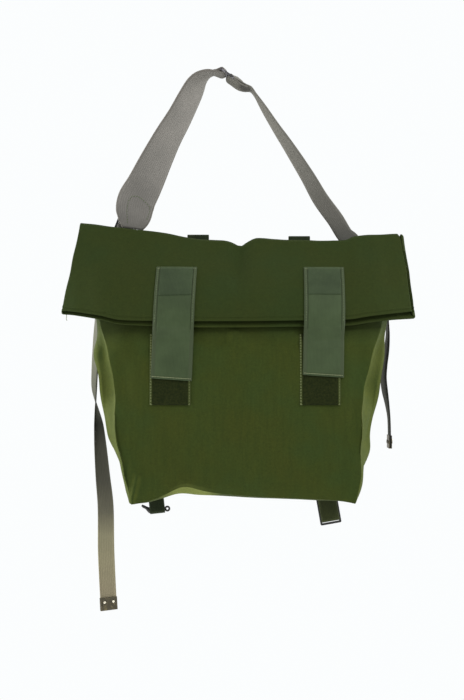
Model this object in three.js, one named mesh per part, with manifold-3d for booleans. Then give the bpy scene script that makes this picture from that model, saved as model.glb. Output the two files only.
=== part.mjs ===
// A canvas shoulder bag with a fold-over top, as it hangs by its shoulder strap.
// Millimetres, +Z up, X to the bag's right as seen from the front, Y to the back.
// The origin is the underside of the strap, at the point that it hangs by.

import * as THREE from 'three';
import { mergeVertices } from 'three/addons/utils/BufferGeometryUtils.js';
import Module from 'manifold-3d';

const wasm = await Module();
wasm.setup();

// Materials' thickness and the gap between pieces that touch
const CANVAS = 2;
const WEBBING = 1.5;
const PAD_THICKNESS = 2.5;
const TAB_THICKNESS = 2;
const PATCH_THICKNESS = 1.6;
const SEAT_GAP = 0.3;

// Pouch
const STRAP_DROP = 201.5; // hang point down to the middle of the fold
const BAG_SHIFT = 36; // the bag's middle lies this far to the right of the hang point
const BAG_HEIGHT = 317; // middle of the fold down to the bottom corners
const MOUTH_WIDTH = 398;
const POUCH_DEPTH = 96;
const BACK_REACH = 40; // the bag's back lies this far behind the hang point

// Folded top
const LAYER_GAP = 5; // open space between the mouth's two layers
const FOLD_BEND = 6; // bend radius in the middle of the two layers
const FOLD_TURN = 146; // degrees turned at the crest
const FLAP_DROP = 104; // middle of the fold down to the middle of the hem
const HEM_WIDTH = 421;
const HEM_SHIFT = -6; // the hem's middle, to the side of the bag's middle
const HEM_REACH = 52; // the hem's middle lies this far in front of the hang point
const HEM_CURVE = 30; // the hem's ends lie this far behind its middle
const UNDER_LAYER = 5; // the inner layer hangs this far below the outer one

// Closing tabs and their patches
const TAB_WIDTH = 48.5;
const TAB_SPREAD = 88.3; // half the distance between the tabs' middles
const TAB_SHIFT = 6.7; // the tabs sit this far to the right of the bag's middle
const TAB_TOP = 36; // from the fold down to the tab's top
const TAB_LENGTH = 138;
const TAB_SHORTER = 4; // the right tab ends this much higher
const PATCH_WIDTH = 48;
const PATCH_LENGTH = 84;
const PATCH_END = 200; // from the fold down to the patch's lower end
const PATCH_OUTSET = 4; // the patch sits this far to the left of its tab
const PATCH_GAP = 0.5; // between the patch and the front, which is faceted here

// Straps
const WEB_WIDTH = 20;
const PAD_WIDTH = 43;
const PAD_END_WIDTH = 20;
const SLIDE_BACK = 40; // the side slides lie this far behind the hang point
const LEFT_SLIDE = { across: BAG_SHIFT - 0.3688 * MOUTH_WIDTH, down: STRAP_DROP - 16.3, lean: 22 };
const RIGHT_SLIDE = { across: BAG_SHIFT + 0.3676 * MOUTH_WIDTH, down: STRAP_DROP + 11.2, lean: -36 };
const PAD_REACH = -0.9335 * LEFT_SLIDE.across; // hang point sideways to the pad's lower end
const PAD_DROP = LEFT_SLIDE.down + 3;
const LEFT_TAIL = 476; // from the left slide down to the end of its tail
const RIGHT_TAIL = 245.4;
const LENS_LENGTH = 22; // sewn loop of webbing at the top slide
const TIP_LENGTH = 15;
const TIP_METAL = 0.8;
const RIVET_RADIUS = 2.2;
const RIVET_HEIGHT = 0.9;
const RIVET_SPREAD = 0.28; // share of the tip's width from its middle to each rivet
const RIVET_FROM_END = 0.45; // share of TIP_LENGTH

// Slides and lower hardware
const BAR_WIDTH = 2.5;
const BAR_THICKNESS = 2.2;
const BAR_PITCH = 10;
const TOP_BAR_PITCH = 8.75;
const SLIDE_CORNER = 2;
const SLOT_PLAY = 1.5; // sideways room of a webbing in its slot
const TOP_SLIDE = { across: 17.1, down: 1.2, lean: 35 };
const TOP_LOOP_WIDTH = 26;
const LEFT_LOOP = -55; // the webbing loops' middles, from the bag's middle
const RIGHT_LOOP = 71;
const TOP_LOOP_RISE = 9; // the webbing loops stand this far above the fold
const TOP_LOOP_LENGTH = 46;
const TOP_LOOP_BEND = 1.65; // bend radius at its top, to the webbing's middle
const LOWER_BACK = 42; // the lower hardware lies this far behind the hang point
const LOWER_SEAM = 28; // the lower webbings are sewn this far up the back
const LEFT_BUCKLE = { across: -0.268 * MOUTH_WIDTH, below: 16.5, lean: -6 }; // from the bag's middle
const RIGHT_BUCKLE = { across: 0.2729 * MOUTH_WIDTH, below: 19.5, lean: -10 }; // and lower edge
const ROD_RADIUS = 2;
const ROD_LENGTH = 26;
const FRAME_REACH = 15.7; // from the middle of the right frame to its end bars
const FRAME_INNER_BAR = 10.2;

const STACK = LAYER_GAP + 2 * CANVAS;
const NECK_BACK = 9.5; // the neck's back lies this far in front of the bag's back
const NECK_MIDDLE = BACK_REACH - NECK_BACK - STACK / 2;
const NECK_DROP = STRAP_DROP + STACK / 2 + FOLD_BEND;
const NECK_CORNER = STACK / 2;

const PANEL_STEPS = 20;
const GUSSET_STEPS = 3;
const BEND_STEPS = 7;
const FLAP_STEPS = 8;
const BEND_SHARE = 0.3; // share of the folded length that the bend takes
const HEM_SHARE = 0.9; // from here on the inner layer grows longer than the outer one
const BACK_CORNER = 0.6; // how far the back's corners follow the front's
const CURVE_POWER = 3;
const UNDER_FLAP_GAP = 4.5;
const RISE_FADE = 0.3; // share of BAG_HEIGHT over which the fold's rise fades out
const LIFT_FADE = 0.15; // the same for the bottom's lift

// Levels of the pouch in plan. down: share of BAG_HEIGHT below the fold. The others: shares of
// MOUTH_WIDTH from the bag's middle to its edges and to the front's corners.
const POUCH_WIDTHS = [
  { down: 1.0, left: -0.337, right: 0.342, frontLeft: -0.327, frontRight: 0.337 },
  { down: 0.96, left: -0.354, right: 0.357, frontLeft: -0.337, frontRight: 0.344 },
  { down: 0.896, left: -0.367, right: 0.364, frontLeft: -0.354, frontRight: 0.351 },
  { down: 0.817, left: -0.384, right: 0.382, frontLeft: -0.366, frontRight: 0.348 },
  { down: 0.754, left: -0.407, right: 0.389, frontLeft: -0.373, frontRight: 0.352 },
  { down: 0.681, left: -0.421, right: 0.393, frontLeft: -0.376, frontRight: 0.353 },
  { down: 0.596, left: -0.432, right: 0.411, frontLeft: -0.381, frontRight: 0.357 },
  { down: 0.511, left: -0.44, right: 0.425, frontLeft: -0.392, frontRight: 0.374 },
  { down: 0.413, left: -0.443, right: 0.433, frontLeft: -0.403, frontRight: 0.397 },
  { down: 0.325, left: -0.446, right: 0.442, frontLeft: -0.432, frontRight: 0.422 },
  { down: 0.208, left: -0.465, right: 0.465, frontLeft: -0.45, frontRight: 0.447 },
  { down: 0.114, left: -0.485, right: 0.485, frontLeft: -0.472, frontRight: 0.47 },
];

// The same levels' depths, as shares of POUCH_DEPTH in front of the flat back; a front without a
// number lies close behind the flap. curve: how far the front's corners lie behind its middle.
const POUCH_DEPTHS = [
  { front: 0.979, back: 0.02, curve: 0.02 },
  { front: 1.01, back: 0, curve: 0.03 },
  { front: 1.02, back: 0, curve: 0.04 },
  { front: 1.01, back: 0, curve: 0.05 },
  { front: 1.0, back: 0, curve: 0.06 },
  { front: 0.995, back: 0, curve: 0.07 },
  { front: 0.99, back: 0, curve: 0.08 },
  { front: 0.979, back: 0, curve: 0.1 },
  { front: 0.943, back: 0, curve: 0.16 },
  { front: null, back: 0.01, curve: 0.27 },
  { front: null, back: 0.042, curve: 0.2 },
  { front: null, back: 0.073, curve: 0.09 },
];

// across: share from the bag's middle (-1) left end to (1) right end. rise: share of FLAP_DROP.
const FOLD_RISE = [
  { across: -1, rise: 0.21 },
  { across: -0.857, rise: 0.185 },
  { across: -0.696, rise: 0.149 },
  { across: -0.448, rise: 0.078 },
  { across: -0.324, rise: 0.03 },
  { across: -0.1, rise: 0 },
  { across: 0, rise: -0.045 },
  { across: 0.1, rise: 0.024 },
  { across: 0.2, rise: 0.01 },
  { across: 0.6, rise: 0 },
  { across: 0.7, rise: 0.054 },
  { across: 0.95, rise: 0.081 },
  { across: 1, rise: 0.054 },
];

const HEM_RISE = [
  { across: -1, rise: 0.15 },
  { across: -0.93, rise: 0.135 },
  { across: -0.766, rise: 0.072 },
  { across: -0.672, rise: 0.02 },
  { across: -0.5, rise: 0.005 },
  { across: 0, rise: 0 },
  { across: 0.4, rise: 0.013 },
  { across: 0.612, rise: 0.025 },
  { across: 0.738, rise: 0.072 },
  { across: 1, rise: 0.149 },
];

// lift: share of POUCH_DEPTH that the bottom's edge stands above the bottom corners.
const BOTTOM_LIFT = [
  { across: -0.67, lift: 0 },
  { across: -0.57, lift: 0.015 },
  { across: -0.48, lift: 0.06 },
  { across: -0.38, lift: 0.13 },
  { across: -0.27, lift: 0.12 },
  { across: 0, lift: 0.094 },
  { across: 0.44, lift: 0.054 },
  { across: 0.56, lift: 0.042 },
  { across: 0.68, lift: 0 },
];

// The pad's middle line. across: share of PAD_REACH, down: share of PAD_DROP, back: share of
// SLIDE_BACK. turn: degrees from lying flat against the back. width: share of PAD_WIDTH.
const PAD_ROUTE = [
  { across: -1.0, down: 1.0, back: 0.85, turn: 0, width: 0.36 },
  { across: -0.995, down: 0.978, back: 0.85, turn: 0, width: 0.74 },
  { across: -0.99, down: 0.94, back: 0.85, turn: 0, width: 0.96 },
  { across: -0.98, down: 0.864, back: 0.85, turn: 2, width: 1 },
  { across: -0.927, down: 0.798, back: 0.83, turn: 3, width: 1 },
  { across: -0.836, down: 0.707, back: 0.775, turn: 18, width: 1 },
  { across: -0.682, down: 0.538, back: 0.65, turn: 34, width: 1 },
  { across: -0.544, down: 0.395, back: 0.525, turn: 43, width: 1 },
  { across: -0.404, down: 0.266, back: 0.4, turn: 51, width: 1 },
  { across: -0.283, down: 0.145, back: 0.275, turn: 57, width: 1 },
  { across: -0.196, down: 0.063, back: 0.175, turn: 64, width: 1 },
  { across: -0.121, down: 0.019, back: 0.075, turn: 77, width: 0.95 },
  { across: -0.042, down: -0.004, back: 0, turn: 90, width: 0.75 },
  { across: 0.013, down: -0.0066, back: 0, turn: 90, width: 0.52 },
];

// The pad's sewn end, past the slide's bar and back over the pad. Shares of PAD_END_WIDTH from the
// hang point.
const PAD_RETURN = [
  { across: 0.15, up: 0.31 },
  { across: -0.12, up: 0.25 },
  { across: -0.4, up: 0.17 },
];

// The sewn loop's upper layer, free end first, and its lower layer. Shares of LENS_LENGTH from the
// top slide's right bar.
const LENS_UPPER = [
  { along: 0.9, down: 0.54 },
  { along: 0.67, down: 0.4 },
  { along: 0.42, down: 0.18 },
  { along: 0.19, down: -0.1 },
];
const LENS_LOWER = [
  { along: 0.08, down: 0.26 },
  { along: 0.26, down: 0.45 },
  { along: 0.49, down: 0.6 },
  { along: 0.73, down: 0.69 },
  { along: 0.99, down: 0.79 },
];

// From the loop to the right slide. Shares of the slide's place; turn as on the pad.
const RIGHT_ROUTE = [
  { across: 0.288, down: 0.124, back: 0.06, turn: 88 },
  { across: 0.332, down: 0.182, back: 0.1, turn: 78 },
  { across: 0.42, down: 0.296, back: 0.22, turn: 68 },
  { across: 0.511, down: 0.407, back: 0.35, turn: 56 },
  { across: 0.643, down: 0.578, back: 0.55, turn: 38 },
  { across: 0.739, down: 0.701, back: 0.7, turn: 22 },
  { across: 0.849, down: 0.82, back: 0.88, turn: 6 },
  { across: 0.92, down: 0.908, back: 0.99, turn: 0 },
];

// From under the pad to the left slide.
const LEFT_ROUTE = [
  { across: 0.856, down: 0.81, back: 0.93, turn: 2 },
  { across: 0.905, down: 0.87, back: 0.935, turn: 0 },
];

// Free tails below their slides. across: share of WEB_WIDTH from the slide, down: share of the
// tail's drop, back: share of SLIDE_BACK, turn as on the pad.
const LEFT_TAIL_ROUTE = [
  { across: -0.72, down: 0.062, back: 1.14, turn: 22 },
  { across: -1.45, down: 0.147, back: 1.22, turn: 58 },
  { across: -1.8, down: 0.234, back: 1.18, turn: 75 },
  { across: -1.87, down: 0.341, back: 1.05, turn: 62 },
  { across: -1.92, down: 0.418, back: 1, turn: 66 },
  { across: -1.83, down: 0.457, back: 1, turn: 84 },
  { across: -1.65, down: 0.515, back: 1, turn: 116 },
  { across: -1.54, down: 0.573, back: 1, turn: 130 },
  { across: -1.39, down: 0.65, back: 1, turn: 144 },
  { across: -1.22, down: 0.726, back: 1, turn: 156 },
  { across: -1.18, down: 0.847, back: 1, turn: 164 },
  { across: -1.04, down: 0.976, back: 1, turn: 161 },
  { across: -1.01, down: 1, back: 1, turn: 160 },
];
const RIGHT_TAIL_ROUTE = [
  { across: 0.83, down: 0.122, back: 1.17, turn: 40 },
  { across: 1.5, down: 0.25, back: 1.2, turn: 75 },
  { across: 1.81, down: 0.399, back: 1.1, turn: 88 },
  { across: 1.79, down: 0.44, back: 1, turn: 86 },
  { across: 1.7, down: 0.51, back: 0.95, turn: 80 },
  { across: 1.58, down: 0.586, back: 0.95, turn: 80 },
  { across: 1.52, down: 0.648, back: 0.95, turn: 77 },
  { across: 1.6, down: 0.713, back: 0.95, turn: 77 },
  { across: 1.73, down: 0.774, back: 0.95, turn: 84 },
  { across: 1.85, down: 0.846, back: 0.95, turn: 90 },
  { across: 1.89, down: 0.942, back: 0.95, turn: 90 },
  { across: 1.89, down: 1, back: 0.95, turn: 90 },
];

const canvasColour = 0x3d4822;
const tabColour = 0x444d38;
const patchColour = 0x272c18;
const padColour = 0x7d7a72;
const webColour = 0x6c6a64;
const darkWebColour = 0x2b3019;
const darkMetalColour = 0x15160f;
const tipColour = 0x4a4030;

function fabric(color, roughness) {
  return new THREE.MeshStandardMaterial({ color, roughness, metalness: 0 });
}

function metal(color, roughness) {
  return new THREE.MeshStandardMaterial({ color, roughness, metalness: 0.8 });
}

function meshOf(name, geometry, material) {
  const mesh = new THREE.Mesh(geometry, material);
  mesh.name = name;
  return mesh;
}

function geometryOf(points, triangles) {
  const geometry = new THREE.BufferGeometry();
  const numbers = points.flatMap((p) => p.toArray());
  geometry.setAttribute('position', new THREE.Float32BufferAttribute(numbers, 3));
  geometry.setIndex(triangles.flat());
  geometry.computeVertexNormals();
  return geometry;
}

// A smooth value through a table's rows, held level past its ends
function smoothLookUp(rows, key, column, at) {
  const last = rows.length - 1;
  if (at <= rows[0][key]) return rows[0][column];
  if (at >= rows[last][key]) return rows[last][column];
  let i = 0;
  while (rows[i + 1][key] < at) i += 1;
  const slope = (j) => {
    const a = Math.max(j - 1, 0);
    const b = Math.min(j + 1, last);
    return (rows[b][column] - rows[a][column]) / (rows[b][key] - rows[a][key]);
  };
  const span = rows[i + 1][key] - rows[i][key];
  const t = (at - rows[i][key]) / span;
  return hermite(rows[i][column], slope(i) * span, rows[i + 1][column], slope(i + 1) * span, t);
}

function hermite(from, fromSlope, to, toSlope, t) {
  const t2 = t * t;
  const t3 = t2 * t;
  return (2 * t3 - 3 * t2 + 1) * from + (t3 - 2 * t2 + t) * fromSlope
    + (3 * t2 - 2 * t3) * to + (t3 - t2) * toSlope;
}

function straightLookUp(rows, key, column, at) {
  const last = rows.length - 1;
  let i = 0;
  while (i < last - 1 && rows[i + 1][key] < at) i += 1;
  const t = THREE.MathUtils.clamp((at - rows[i][key]) / (rows[i + 1][key] - rows[i][key]), 0, 1);
  return THREE.MathUtils.lerp(rows[i][column], rows[i + 1][column], t);
}

function foldRise(across) {
  return FLAP_DROP * smoothLookUp(FOLD_RISE, 'across', 'rise', across);
}

// The middle of the flattened mouth, from the neck (0) over the crest to the hem (1)
function foldPath(across, along) {
  const crest = -NECK_DROP + foldRise(across);
  const turnAt = (share) => {
    const angle = THREE.MathUtils.degToRad(FOLD_TURN * share);
    return {
      back: NECK_MIDDLE - FOLD_BEND + FOLD_BEND * Math.cos(angle),
      up: crest + FOLD_BEND * Math.sin(angle),
      angle,
    };
  };
  if (along <= BEND_SHARE) return turnAt(along / BEND_SHARE);
  const start = turnAt(1);
  const hemBack = -HEM_REACH + HEM_CURVE * Math.abs(across) ** CURVE_POWER;
  const hemUp = -STRAP_DROP - FLAP_DROP + FLAP_DROP * smoothLookUp(HEM_RISE, 'across', 'rise', across);
  const reach = Math.hypot(start.back - hemBack, start.up - hemUp);
  const t = (along - BEND_SHARE) / (1 - BEND_SHARE);
  return {
    back: hermite(start.back, -Math.sin(start.angle) * reach, hemBack, 0, t),
    up: hermite(start.up, Math.cos(start.angle) * reach, hemUp, -reach, t),
  };
}

const STEP = 0.002;

// A point beside the fold's middle: outward is positive on the bag's back and on the flap's front
function foldPoint(across, along, sideways, outward) {
  const before = foldPath(across, Math.max(along - STEP, 0));
  const after = foldPath(across, Math.min(along + STEP, 1));
  const middle = foldPath(across, along);
  const back = after.back - before.back;
  const up = after.up - before.up;
  const length = Math.hypot(back, up);
  return new THREE.Vector3(
    sideways,
    middle.back + (outward * up) / length,
    middle.up - (outward * back) / length,
  );
}

function foldAcross(along) {
  const width = THREE.MathUtils.lerp(MOUTH_WIDTH, HEM_WIDTH, along);
  return { half: width / 2, middle: BAG_SHIFT + HEM_SHIFT * along };
}

// How far down the flap, as a share, its surface or middle reaches a height
function flapShareAt(across, up, outward) {
  let low = BEND_SHARE;
  let high = 1;
  for (let i = 0; i < 30; i += 1) {
    const half = (low + high) / 2;
    if (foldPoint(across, half, 0, outward).z > up) low = half;
    else high = half;
  }
  return low;
}

// One level of cloth in plan: from the left edge along the front to the right edge, then back
function clothRing(level, inset) {
  const middle = (level.front + level.back) / 2;
  const left = level.left + inset;
  const right = level.right - inset;
  const frontLeft = level.frontLeft + inset;
  const frontRight = level.frontRight - inset;
  const front = level.front + inset;
  const back = level.back - inset;
  const cornerBack = front + level.curve;
  const ring = [];
  const gusset = (edge, corner, depth, share) => {
    const angle = (share * Math.PI) / 2;
    ring.push({
      x: corner + (edge - corner) * Math.cos(angle),
      y: middle + (depth - middle) * Math.sin(angle),
    });
  };
  for (let i = 0; i < GUSSET_STEPS; i += 1) gusset(left, frontLeft, cornerBack, i / GUSSET_STEPS);
  for (let i = 0; i <= PANEL_STEPS; i += 1) {
    const across = (2 * i) / PANEL_STEPS - 1;
    ring.push({
      x: THREE.MathUtils.lerp(frontLeft, frontRight, i / PANEL_STEPS),
      y: front + level.curve * Math.abs(across) ** CURVE_POWER,
    });
  }
  for (let i = GUSSET_STEPS - 1; i >= 0; i -= 1) gusset(right, frontRight, cornerBack, i / GUSSET_STEPS);
  const backLeft = THREE.MathUtils.lerp(left, frontLeft, BACK_CORNER);
  const backRight = THREE.MathUtils.lerp(right, frontRight, BACK_CORNER);
  for (let i = 1; i < GUSSET_STEPS; i += 1) gusset(right, backRight, back, i / GUSSET_STEPS);
  for (let i = PANEL_STEPS; i >= 0; i -= 1) {
    ring.push({ x: THREE.MathUtils.lerp(backLeft, backRight, i / PANEL_STEPS), y: back });
  }
  for (let i = GUSSET_STEPS - 1; i > 0; i -= 1) gusset(left, backLeft, back, i / GUSSET_STEPS);
  return ring;
}

// Triangles across a ring whose points pair up front to back
function floorTriangles(count) {
  const half = count / 2;
  const triangles = [];
  for (let i = 0; i < half; i += 1) {
    const near = i === 0 ? [0] : [i, count - i];
    const far = i + 1 === half ? [half] : [i + 1, count - i - 1];
    const corners = [near[0], far[0], far[1], near[1]].filter((corner) => corner !== undefined);
    for (let c = 1; c + 1 < corners.length; c += 1) {
      triangles.push([corners[0], corners[c], corners[c + 1]]);
    }
  }
  return triangles;
}

// A wall between two skins, each a list of rings; open at the far end, and at the near end too
// unless it has a floor
function walledSolid(outer, inner, floor) {
  const count = outer[0].length;
  const points = [...outer.flat(), ...inner.flat()];
  const innerStart = outer.length * count;
  const triangles = [];
  const quad = (a, b, c, d) => triangles.push([a, b, c], [a, c, d]);
  for (let k = 0; k + 1 < outer.length; k += 1) {
    for (let i = 0; i < count; i += 1) {
      const next = (i + 1) % count;
      const low = k * count;
      const high = low + count;
      quad(low + i, low + next, high + next, high + i);
      const innerLow = innerStart + low;
      const innerHigh = innerStart + high;
      quad(innerLow + i, innerHigh + i, innerHigh + next, innerLow + next);
    }
  }
  const lastRing = (outer.length - 1) * count;
  for (let i = 0; i < count; i += 1) {
    const next = (i + 1) % count;
    quad(lastRing + i, lastRing + next, innerStart + lastRing + next, innerStart + lastRing + i);
    if (!floor) quad(i, innerStart + i, innerStart + next, next);
  }
  if (floor) {
    floorTriangles(count).forEach(([a, b, c]) => {
      triangles.push([a, c, b]);
      triangles.push([innerStart + a, innerStart + b, innerStart + c]);
    });
  }
  return geometryOf(points, triangles);
}

function acrossOf(x) {
  return (x - BAG_SHIFT) / (MOUTH_WIDTH / 2);
}

const NECK_LEVEL = {
  up: -NECK_DROP - SEAT_GAP,
  left: -MOUTH_WIDTH / 2,
  right: MOUTH_WIDTH / 2,
  frontLeft: -MOUTH_WIDTH / 2 + NECK_CORNER,
  frontRight: MOUTH_WIDTH / 2 - NECK_CORNER,
  front: NECK_MIDDLE - STACK / 2,
  back: NECK_MIDDLE + STACK / 2,
  curve: 0,
};

function pouchLevel(row) {
  const up = -STRAP_DROP - BAG_HEIGHT * row.down;
  const underFlap = () => foldPoint(0, flapShareAt(0, up, -STACK / 2), 0, -STACK / 2).y + UNDER_FLAP_GAP;
  return {
    up,
    left: MOUTH_WIDTH * row.left,
    right: MOUTH_WIDTH * row.right,
    frontLeft: MOUTH_WIDTH * row.frontLeft,
    frontRight: MOUTH_WIDTH * row.frontRight,
    front: row.front === null ? underFlap() : BACK_REACH - POUCH_DEPTH * row.front,
    back: BACK_REACH - POUCH_DEPTH * row.back,
    curve: POUCH_DEPTH * row.curve,
  };
}

const pouchRows = POUCH_WIDTHS.map((row, i) => ({ ...row, ...POUCH_DEPTHS[i] }));
const pouchLevels = [...pouchRows.map(pouchLevel), NECK_LEVEL];

// How much of the fold's rise, and of the bottom's lift, a level takes on
function riseShare(up) {
  return THREE.MathUtils.clamp(1 - (NECK_LEVEL.up - up) / (BAG_HEIGHT * RISE_FADE), 0, 1);
}

function liftShare(up) {
  return THREE.MathUtils.clamp(1 - (up + STRAP_DROP + BAG_HEIGHT) / (BAG_HEIGHT * LIFT_FADE), 0, 1);
}

function levelHeight(level, x) {
  const across = acrossOf(x);
  const lift = POUCH_DEPTH * smoothLookUp(BOTTOM_LIFT, 'across', 'lift', across);
  return level.up + foldRise(across) * riseShare(level.up) + lift * liftShare(level.up);
}

function pouchRing(level, inset, raise) {
  return clothRing(level, inset).map((p) => {
    const x = p.x + BAG_SHIFT;
    return new THREE.Vector3(x, p.y, levelHeight(level, x) + raise);
  });
}

function pouch() {
  const outer = pouchLevels.map((level) => pouchRing(level, 0, 0));
  const inner = pouchLevels.map((level, i) => pouchRing(level, CANVAS, i === 0 ? CANVAS : 0));
  return meshOf('pouch', walledSolid(outer, inner, true), fabric(canvasColour, 0.9));
}

function pouchFrontAt(x, up) {
  const at = (column) => straightLookUp(pouchLevels, 'up', column, up);
  const across = (2 * (x - BAG_SHIFT - at('frontLeft'))) / (at('frontRight') - at('frontLeft')) - 1;
  return at('front') + at('curve') * Math.abs(across) ** CURVE_POWER;
}

function pouchBackAt(up) {
  return straightLookUp(pouchLevels, 'up', 'back', up);
}

function foldRing(along, inset) {
  const { half, middle } = foldAcross(along);
  const level = {
    left: -half,
    right: half,
    frontLeft: -half + NECK_CORNER,
    frontRight: half - NECK_CORNER,
    front: -STACK / 2,
    back: STACK / 2,
    curve: 0,
  };
  const longer = UNDER_LAYER * Math.max(0, (along - HEM_SHARE) / (1 - HEM_SHARE));
  return clothRing(level, inset).map((p) => {
    const point = foldPoint(p.x / half, along, p.x + middle, p.y);
    point.z -= longer * (0.5 - p.y / STACK);
    return point;
  });
}

function foldOverTop() {
  const stations = [];
  for (let i = 0; i < BEND_STEPS; i += 1) stations.push((BEND_SHARE * i) / BEND_STEPS);
  for (let i = 0; i <= FLAP_STEPS; i += 1) {
    stations.push(THREE.MathUtils.lerp(BEND_SHARE, 1, i / FLAP_STEPS));
  }
  const outer = stations.map((along) => foldRing(along, 0));
  const inner = stations.map((along) => foldRing(along, CANVAS));
  return meshOf('fold_over_top', walledSolid(outer, inner, false), fabric(canvasColour, 0.9));
}

// A thin sheet of even thickness round a grid of points, rows along its length
function sheetSolid(rows, thickness) {
  const lastRow = rows.length - 1;
  const lastColumn = rows[0].length - 1;
  const normalAt = (j, i) => {
    const across = rows[j][Math.min(i + 1, lastColumn)].clone().sub(rows[j][Math.max(i - 1, 0)]);
    const along = rows[Math.min(j + 1, lastRow)][i].clone().sub(rows[Math.max(j - 1, 0)][i]);
    return across.cross(along).normalize();
  };
  const points = [];
  [0.5, -0.5].forEach((side) => {
    rows.forEach((row, j) => {
      row.forEach((p, i) => points.push(p.clone().addScaledVector(normalAt(j, i), side * thickness)));
    });
  });
  const columns = lastColumn + 1;
  const under = rows.length * columns;
  const triangles = [];
  const quad = (a, b, c, d) => triangles.push([a, b, c], [a, c, d]);
  for (let j = 0; j < lastRow; j += 1) {
    for (let i = 0; i < lastColumn; i += 1) {
      const a = j * columns + i;
      quad(a, a + 1, a + columns + 1, a + columns);
      quad(under + a, under + a + columns, under + a + columns + 1, under + a + 1);
    }
    const left = j * columns;
    const right = left + lastColumn;
    quad(left + columns, under + left + columns, under + left, left);
    quad(right, under + right, under + right + columns, right + columns);
  }
  for (let i = 0; i < lastColumn; i += 1) {
    const far = lastRow * columns + i;
    quad(i, under + i, under + i + 1, i + 1);
    quad(far + 1, under + far + 1, under + far, far);
  }
  return geometryOf(points, triangles);
}

const TAB_STEPS = 9;
const TAB_COLUMNS = 4;
const TAB_SETTLE = 20; // drop below the hem over which a tab comes to lie on its patch
const PATCH_STEPS = 6;

// A tab follows the flap's front, bends over its hem and lies on its patch
function closingTab(name, side) {
  const centre = BAG_SHIFT + TAB_SHIFT + side * TAB_SPREAD;
  const length = TAB_LENGTH - (side > 0 ? TAB_SHORTER : 0);
  const standOff = STACK / 2 + SEAT_GAP + TAB_THICKNESS / 2;
  const patchOff = PATCH_GAP + PATCH_THICKNESS + SEAT_GAP + TAB_THICKNESS / 2;
  const topShare = flapShareAt(acrossOf(centre), -STRAP_DROP - TAB_TOP, standOff);
  const rows = [];
  const onFlap = (along, x) => {
    const { half, middle } = foldAcross(along);
    return foldPoint((x - middle) / half, along, x, standOff);
  };
  for (let j = 0; j <= TAB_STEPS; j += 1) {
    const along = THREE.MathUtils.lerp(topShare, 1, j / TAB_STEPS);
    const row = [];
    for (let i = 0; i <= TAB_COLUMNS; i += 1) {
      row.push(onFlap(along, centre + TAB_WIDTH * (0.5 - i / TAB_COLUMNS)));
    }
    rows.push(row);
  }
  const end = -STRAP_DROP - TAB_TOP - length;
  for (let j = 1; j <= TAB_STEPS; j += 1) {
    const row = [];
    for (let i = 0; i <= TAB_COLUMNS; i += 1) {
      const x = centre + TAB_WIDTH * (0.5 - i / TAB_COLUMNS);
      const hem = onFlap(1, x);
      const z = THREE.MathUtils.lerp(hem.z, end, j / TAB_STEPS);
      const settle = THREE.MathUtils.smoothstep(hem.z - z - UNDER_LAYER, 0, TAB_SETTLE);
      const y = THREE.MathUtils.lerp(hem.y, pouchFrontAt(x, z) - patchOff, settle);
      row.push(new THREE.Vector3(x, y, z));
    }
    rows.push(row);
  }
  return meshOf(name, sheetSolid(rows, TAB_THICKNESS), fabric(tabColour, 0.7));
}

function loopPatch(name, side) {
  const centre = BAG_SHIFT + TAB_SHIFT + side * TAB_SPREAD - PATCH_OUTSET;
  const rows = [];
  for (let j = 0; j <= PATCH_STEPS; j += 1) {
    const z = -STRAP_DROP - PATCH_END + PATCH_LENGTH * (1 - j / PATCH_STEPS);
    const row = [];
    for (let i = 0; i <= TAB_COLUMNS; i += 1) {
      const x = centre + PATCH_WIDTH * (0.5 - i / TAB_COLUMNS);
      row.push(new THREE.Vector3(x, pouchFrontAt(x, z) - PATCH_GAP - PATCH_THICKNESS / 2, z));
    }
    rows.push(row);
  }
  return meshOf(name, sheetSolid(rows, PATCH_THICKNESS), fabric(patchColour, 1));
}

// Rows of a ribbon, its width turned about its middle line
function ribbonRows(stations, columns) {
  const last = stations.length - 1;
  return stations.map((station, j) => {
    const ahead = stations[Math.min(j + 1, last)].at;
    const behind = stations[Math.max(j - 1, 0)].at;
    const tangent = ahead.clone().sub(behind);
    const flat = new THREE.Vector3(-tangent.z, 0, tangent.x).normalize();
    const turn = THREE.MathUtils.degToRad(station.turn);
    const across = flat.multiplyScalar(Math.cos(turn)).add(new THREE.Vector3(0, -Math.sin(turn), 0));
    const row = [];
    for (let i = 0; i <= columns; i += 1) {
      row.push(station.at.clone().addScaledVector(across, station.width * (i / columns - 0.5)));
    }
    return row;
  });
}

// Even stations along a smooth curve through the given ones
function smoothStations(stations, spacing) {
  const curve = new THREE.CatmullRomCurve3(stations.map((s) => s.at), false, 'centripetal');
  const result = [];
  for (let k = 0; k + 1 < stations.length; k += 1) {
    const from = stations[k];
    const to = stations[k + 1];
    const steps = Math.max(1, Math.round(from.at.distanceTo(to.at) / spacing));
    for (let i = 0; i < steps; i += 1) {
      const t = i / steps;
      result.push({
        at: curve.getPoint((k + t) / (stations.length - 1)),
        turn: THREE.MathUtils.lerp(from.turn, to.turn, t),
        width: THREE.MathUtils.lerp(from.width, to.width, t),
      });
    }
  }
  result.push(stations[stations.length - 1]);
  return result;
}

function station(x, y, z, turn, width) {
  return { at: new THREE.Vector3(x, y, z), turn, width };
}

const WRAP_STEPS = 7;

// Half round a bar that lies across the webbing, between two angles in degrees
function barWrap(centre, radius, angles, place) {
  const wrap = [];
  for (let i = 0; i <= WRAP_STEPS; i += 1) {
    const angle = THREE.MathUtils.degToRad(THREE.MathUtils.lerp(angles.from, angles.to, i / WRAP_STEPS));
    wrap.push(place(centre.u + radius * Math.cos(angle), centre.v + radius * Math.sin(angle)));
  }
  return wrap;
}

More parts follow.
